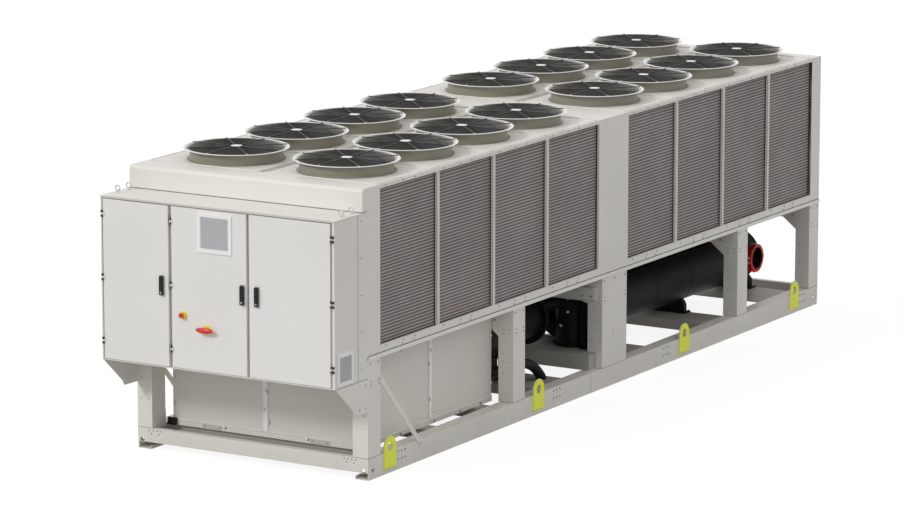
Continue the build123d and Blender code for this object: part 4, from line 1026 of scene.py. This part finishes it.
def vent_filters():
    """Upright slats of the door vent and the side vent, and the step of their frames."""
    slats, step = bmesh.new(), bmesh.new()
    low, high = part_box("door_vent")
    border, recess, face = 0.028, 0.007, low.y
    x0, x1, z0, z1 = low.x + border, high.x - border, low.z + border, high.z - border
    count = 30
    pitch = (x1 - x0) / count
    for index in range(count):
        x = x0 + pitch * index
        add_block(slats, (x + pitch * 0.2, face + 0.003, z0), (x + pitch * 0.8, face + recess, z1), 0.0008)
    make_piece("door_filter", slats, "filter_pale", "door_middle")
    lip = 0.007
    for bx0, bx1, bz0, bz1 in ((x0, x0 + lip, z0, z1), (x1 - lip, x1, z0, z1),
                               (x0 + lip, x1 - lip, z0, z0 + lip), (x0 + lip, x1 - lip, z1 - lip, z1)):
        add_block(step, (bx0, face + 0.0015, bz0), (bx1, face + recess, bz1), 0.0012)
    make_piece("door_vent_step", step, "vent_white", "door_middle")
    slats, step = bmesh.new(), bmesh.new()
    low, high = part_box("side_vent")
    border, recess, face = 0.024, 0.006, high.x
    y0, y1, z0, z1 = low.y + border, high.y - border, low.z + border, high.z - border
    count = 20
    pitch = (y1 - y0) / count
    for index in range(count):
        y = y0 + pitch * index
        add_block(slats, (face - recess, y + pitch * 0.2, z0), (face - 0.0025, y + pitch * 0.8, z1), 0.0008)
    make_piece("side_filter", slats, "filter_pale")
    for by0, by1, bz0, bz1 in ((y0, y0 + lip, z0, z1), (y1 - lip, y1, z0, z1),
                               (y0 + lip, y1 - lip, z0, z0 + lip), (y0 + lip, y1 - lip, z1 - lip, z1)):
        add_block(step, (face - recess, by0, bz0), (face - 0.0012, by1, bz1), 0.0012)
    make_piece("side_vent_step", step, "vent_white")


def stop_button():
    """The mushroom head with its domed face, a grip groove and the stem."""
    low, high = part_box("estop_button")
    spot = middle((low, high))
    radius = (high.x - low.x) / 2
    mesh = bmesh.new()
    deep, head = high.y - low.y, 0.020
    outline = [
        (0, 0), (0.0100, 0), (0.0100, deep - head), (radius - 0.003, deep - head), (radius, deep - head + 0.003),
        (radius, deep - head + 0.007), (radius - 0.0012, deep - head + 0.008), (radius, deep - head + 0.009),
        (radius - 0.0005, deep - 0.007), (radius * 0.85, deep - 0.003), (radius * 0.5, deep - 0.0006), (0, deep),
    ]
    add_turned(mesh, outline, (spot.x, high.y, spot.z), (0, -1, 0), 32)
    make_piece("stop_head", mesh, "signal_red", "estop_button", ("estop_button",))


def isolator_grip():
    """A tapered grip with a raised spine on its spindle."""
    low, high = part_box("isolator_handle")
    spot = middle((low, high))
    grip_back = low.y + 0.028
    half_x, half_z = (high.x - low.x) / 2, (high.z - low.z) / 2
    mesh = bmesh.new()
    stations = 17
    rings = []
    for index in range(stations):
        share = -1 + 2 * index / (stations - 1)
        x = spot.x + half_x * share
        swell = math.sqrt(max(1 - abs(share) ** 5, 0.02))
        wide = half_z * (0.72 + 0.28 * math.cos(share * math.pi / 2)) * swell
        deep = 0.028 * (0.62 + 0.38 * math.cos(share * math.pi / 2)) * (0.6 + 0.4 * swell)
        ring = []
        for step, (across, out) in enumerate(((-1, 0), (-1, 0.45), (-0.75, 0.72), (-0.32, 0.82), (-0.22, 1.0),
                                              (0.22, 1.0), (0.32, 0.82), (0.75, 0.72), (1, 0.45), (1, 0))):
            ring.append(mesh.verts.new((x, grip_back - deep * out, spot.z + wide * across)))
        rings.append(ring)
    for first, second in zip(rings, rings[1:]):
        for step in range(10):
            following = (step + 1) % 10
            mesh.faces.new((first[step], first[following], second[following], second[step]))
    mesh.faces.new(rings[0])
    mesh.faces.new(rings[-1])
    add_turned(mesh, [(0, 0), (0.012, 0), (0.012, high.y - grip_back + 0.004), (0, high.y - grip_back + 0.004)],
               (spot.x, high.y, spot.z), (0, -1, 0), 24)
    make_piece("isolator_grip", mesh, "signal_red", "isolator_handle", ("isolator_handle",), 40)


def switch_details():
    """Yellow mounting plate and screws of the isolator, and the ring on the stop's collar."""
    black, bright = bmesh.new(), bmesh.new()
    bases = sorted(solid_boxes("switch_bases"), key=lambda pair: pair[1].x - pair[0].x)
    collar, base = bases
    spot, front = middle(base), base[0].y
    radius = (base[1].x - base[0].x) / 2
    add_turned(black, [(radius - 0.010, 0), (radius - 0.010, 0.003), (0.0165, 0.003), (0.0165, 0)],
               (spot.x, front, spot.z), (0, -1, 0), 36)
    for index in range(4):
        angle = math.pi / 4 + math.pi * index / 2
        place = (spot.x + 0.033 * math.cos(angle), front, spot.z + 0.033 * math.sin(angle))
        add_screw(bright, place, (0, -1, 0), 0.003)
    spot, front = middle(collar), collar[0].y
    radius = (collar[1].x - collar[0].x) / 2
    add_turned(black, [(radius - 0.004, 0), (radius - 0.005, 0.0015), (0.0125, 0.0015), (0.0125, 0)],
               (spot.x, front, spot.z), (0, -1, 0), 36)
    make_piece("switch_rings", black, "signal_yellow", "door_middle")
    make_piece("switch_screws", bright, "screw_bright", "door_middle")


def hinge_details():
    """Screws on the hinge ears."""
    mesh = bmesh.new()
    for low, high in solid_boxes("door_hinges"):
        spot = middle((low, high))
        for z in (low.z + 0.009, high.z - 0.009):
            add_screw(mesh, (spot.x, low.y, z), (0, -1, 0), 0.004)
    make_piece("hinge_screws", mesh, "screw_dull")


def cabinet_details():
    """Screws down the side joint, on the brackets and the floor, and the lips of the roof."""
    screws, lips, gaps = bmesh.new(), bmesh.new(), bmesh.new()
    low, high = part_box("cabinet_walls")
    roof_low, roof_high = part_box("cabinet_roof")
    for side in (-1, 1):
        for index in range(5):
            z = low.z + 0.10 + (high.z - low.z - 0.16) * index / 4
            add_screw(screws, (side * high.x, front_y - 0.098, z), (side, 0, 0), 0.0075)
        bracket_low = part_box("cabinet_brackets")[0].z
        for y, z in ((-0.035, bracket_low + 0.045), (-0.130, bracket_low + 0.045), (-0.035, low.z - 0.05)):
            add_screw(screws, (side * high.x, front_y + y, z), (side, 0, 0), 0.008)
        x0, x1 = sorted((side * high.x, side * (high.x + 0.0012)))
        add_block(gaps, (x0, front_y - 0.1515, low.z), (x1, front_y - 0.1490, high.z), 0.0003)
        add_block(gaps, (x0, low.y + 0.01, low.z - 0.0015), (x1, front_y, low.z + 0.0015), 0.0003)
    lip_x = high.x - 0.05
    add_block(lips, (-lip_x, roof_low.y + 0.004, roof_high.z), (lip_x, roof_low.y + 0.010, roof_high.z + 0.003))
    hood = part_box("front_hood")[0]
    add_block(gaps, (-half_width, hood.y - 0.0008, hood.z - 0.003), (half_width, hood.y + 0.02, hood.z), 0.0003)
    make_piece("cabinet_screws", screws, "screw_dull")
    make_piece("roof_lip", lips, "frame_paint")
    make_piece("cabinet_gaps", gaps, "dark_seam_and_shade")


def rear_details():
    """Seams and countersunk screws of the rear wall, nearly flush with it."""
    gaps, screws = bmesh.new(), bmesh.new()
    low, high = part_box("end_walls")
    proud, rim = 0.0002, 0.0006
    y = high.y
    for x in (-0.5, 0.5):
        add_block(gaps, (x - 0.002, y - 0.001, low.z), (x + 0.002, y + proud, high.z), 0.0001)
    for x in (low.x + 0.03, -0.53, -0.47, 0.47, 0.53, high.x - 0.03):
        for index in range(6):
            z = low.z + 0.06 + (high.z - low.z - 0.12) * index / 5
            add_eyelet(screws, (x, y + proud - rim, z), (0, 1, 0), 0.007)
    for side in (-1, 1):
        for index in range(6):
            z = low.z + 0.06 + (high.z - low.z - 0.12) * index / 5
            add_eyelet(screws, (side * (half_width - 0.03), rear_y + proud - rim, z), (0, 1, 0), 0.007)
    make_piece("rear_seams", gaps, "dark_seam_and_shade")
    make_piece("rear_screws", screws, "screw_bright")


# Camera, placed where the photograph was taken from
def make_camera():
    data = bpy.data.cameras.new("camera")
    data.sensor_fit = "HORIZONTAL"
    data.sensor_width = 36.0
    data.lens = 181.08
    data.clip_end = 200.0
    camera = bpy.data.objects.new("camera", data)
    camera.location = (20.4686, -35.0329, 9.1439)
    camera.rotation_euler = (math.radians(78.86), math.radians(-0.03), math.radians(30.77))
    scene.collection.objects.link(camera)
    scene.camera = camera


# Light and floor
def seen_directly(tree):
    """1 for the camera's own rays and for what shows in gloss and glass, 0 for all other light."""
    path = tree.nodes.new("ShaderNodeLightPath")
    gloss = tree.nodes.new("ShaderNodeMath")
    gloss.operation = "MAXIMUM"
    tree.links.new(path.outputs["Is Glossy Ray"], gloss.inputs[0])
    tree.links.new(path.outputs["Is Transmission Ray"], gloss.inputs[1])
    either = tree.nodes.new("ShaderNodeMath")
    either.operation = "MAXIMUM"
    tree.links.new(path.outputs["Is Camera Ray"], either.inputs[0])
    tree.links.new(gloss.outputs[0], either.inputs[1])
    return either.outputs[0]


def make_world():
    world = bpy.data.worlds.new("world")
    scene.world = world
    world.use_nodes = True
    tree = world.node_tree
    tree.nodes.clear()
    output = tree.nodes.new("ShaderNodeOutputWorld")
    seen = tree.nodes.new("ShaderNodeBackground")
    seen.inputs["Color"].default_value = (1.0, 1.0, 1.0, 1.0)
    seen.inputs["Strength"].default_value = 1.0
    light = tree.nodes.new("ShaderNodeBackground")
    light.inputs["Color"].default_value = (1.0, 1.0, 1.0, 1.0)
    light.inputs["Strength"].default_value = 0.68
    mix = tree.nodes.new("ShaderNodeMixShader")
    tree.links.new(seen_directly(tree), mix.inputs["Fac"])
    tree.links.new(light.outputs[0], mix.inputs[1])
    tree.links.new(seen.outputs[0], mix.inputs[2])
    tree.links.new(mix.outputs[0], output.inputs["Surface"])


def make_sun(name, strength, direction, angle):
    data = bpy.data.lights.new(name, "SUN")
    data.energy = strength
    data.angle = math.radians(angle)
    lamp = bpy.data.objects.new(name, data)
    lamp.rotation_euler = Vector(direction).to_track_quat("-Z", "Y").to_euler()
    scene.collection.objects.link(lamp)


def make_floor():
    """A pale floor that the camera sees as white, darker only where the unit shades it."""
    mesh = bpy.data.meshes.new("floor")
    side = 60.0
    corners = [(-side, -side, 0), (side, -side, 0), (side, side, 0), (-side, side, 0)]
    mesh.from_pydata(corners, [], [(0, 1, 2, 3)])
    floor = bpy.data.objects.new("floor", mesh)
    floor.location.z = -0.001
    scene.collection.objects.link(floor)
    material = bpy.data.materials.new("floor")
    material.use_nodes = True
    tree = material.node_tree
    tree.nodes.clear()
    output = tree.nodes.new("ShaderNodeOutputMaterial")
    matt = tree.nodes.new("ShaderNodeBsdfDiffuse")
    matt.inputs["Color"].default_value = (0.45, 0.45, 0.45, 1.0)
    faint = tree.nodes.new("ShaderNodeBsdfDiffuse")
    faint.inputs["Color"].default_value = (0.18, 0.18, 0.18, 1.0)
    glow = tree.nodes.new("ShaderNodeEmission")
    glow.inputs["Strength"].default_value = 0.89
    both = tree.nodes.new("ShaderNodeAddShader")
    tree.links.new(faint.outputs[0], both.inputs[0])
    tree.links.new(glow.outputs[0], both.inputs[1])
    mix = tree.nodes.new("ShaderNodeMixShader")
    tree.links.new(seen_directly(tree), mix.inputs["Fac"])
    tree.links.new(matt.outputs[0], mix.inputs[1])
    tree.links.new(both.outputs[0], mix.inputs[2])
    tree.links.new(mix.outputs[0], output.inputs["Surface"])
    mesh.materials.append(material)


dress_nodes()
fan_guards()
rim_clips()
rotor_details()
ring_feet()
deck_seams()
coil_screws()
divider_ridges()
base_holes()
frame_bolts()
frame_seams()
lug_welds()
enclosure_details()
compressor_details()
oil_cooler()
evaporator_lagging()
pipe_lagging()
coupling_details()
saddle_details()
door_seals()
handle_details()
vent_filters()
stop_button()
isolator_grip()
switch_details()
hinge_details()
cabinet_details()
rear_details()
make_camera()
make_world()
make_sun("key", 1.12, (0.35, 0.75, -0.55), 12)
make_floor()

scene.view_settings.view_transform = "Standard"
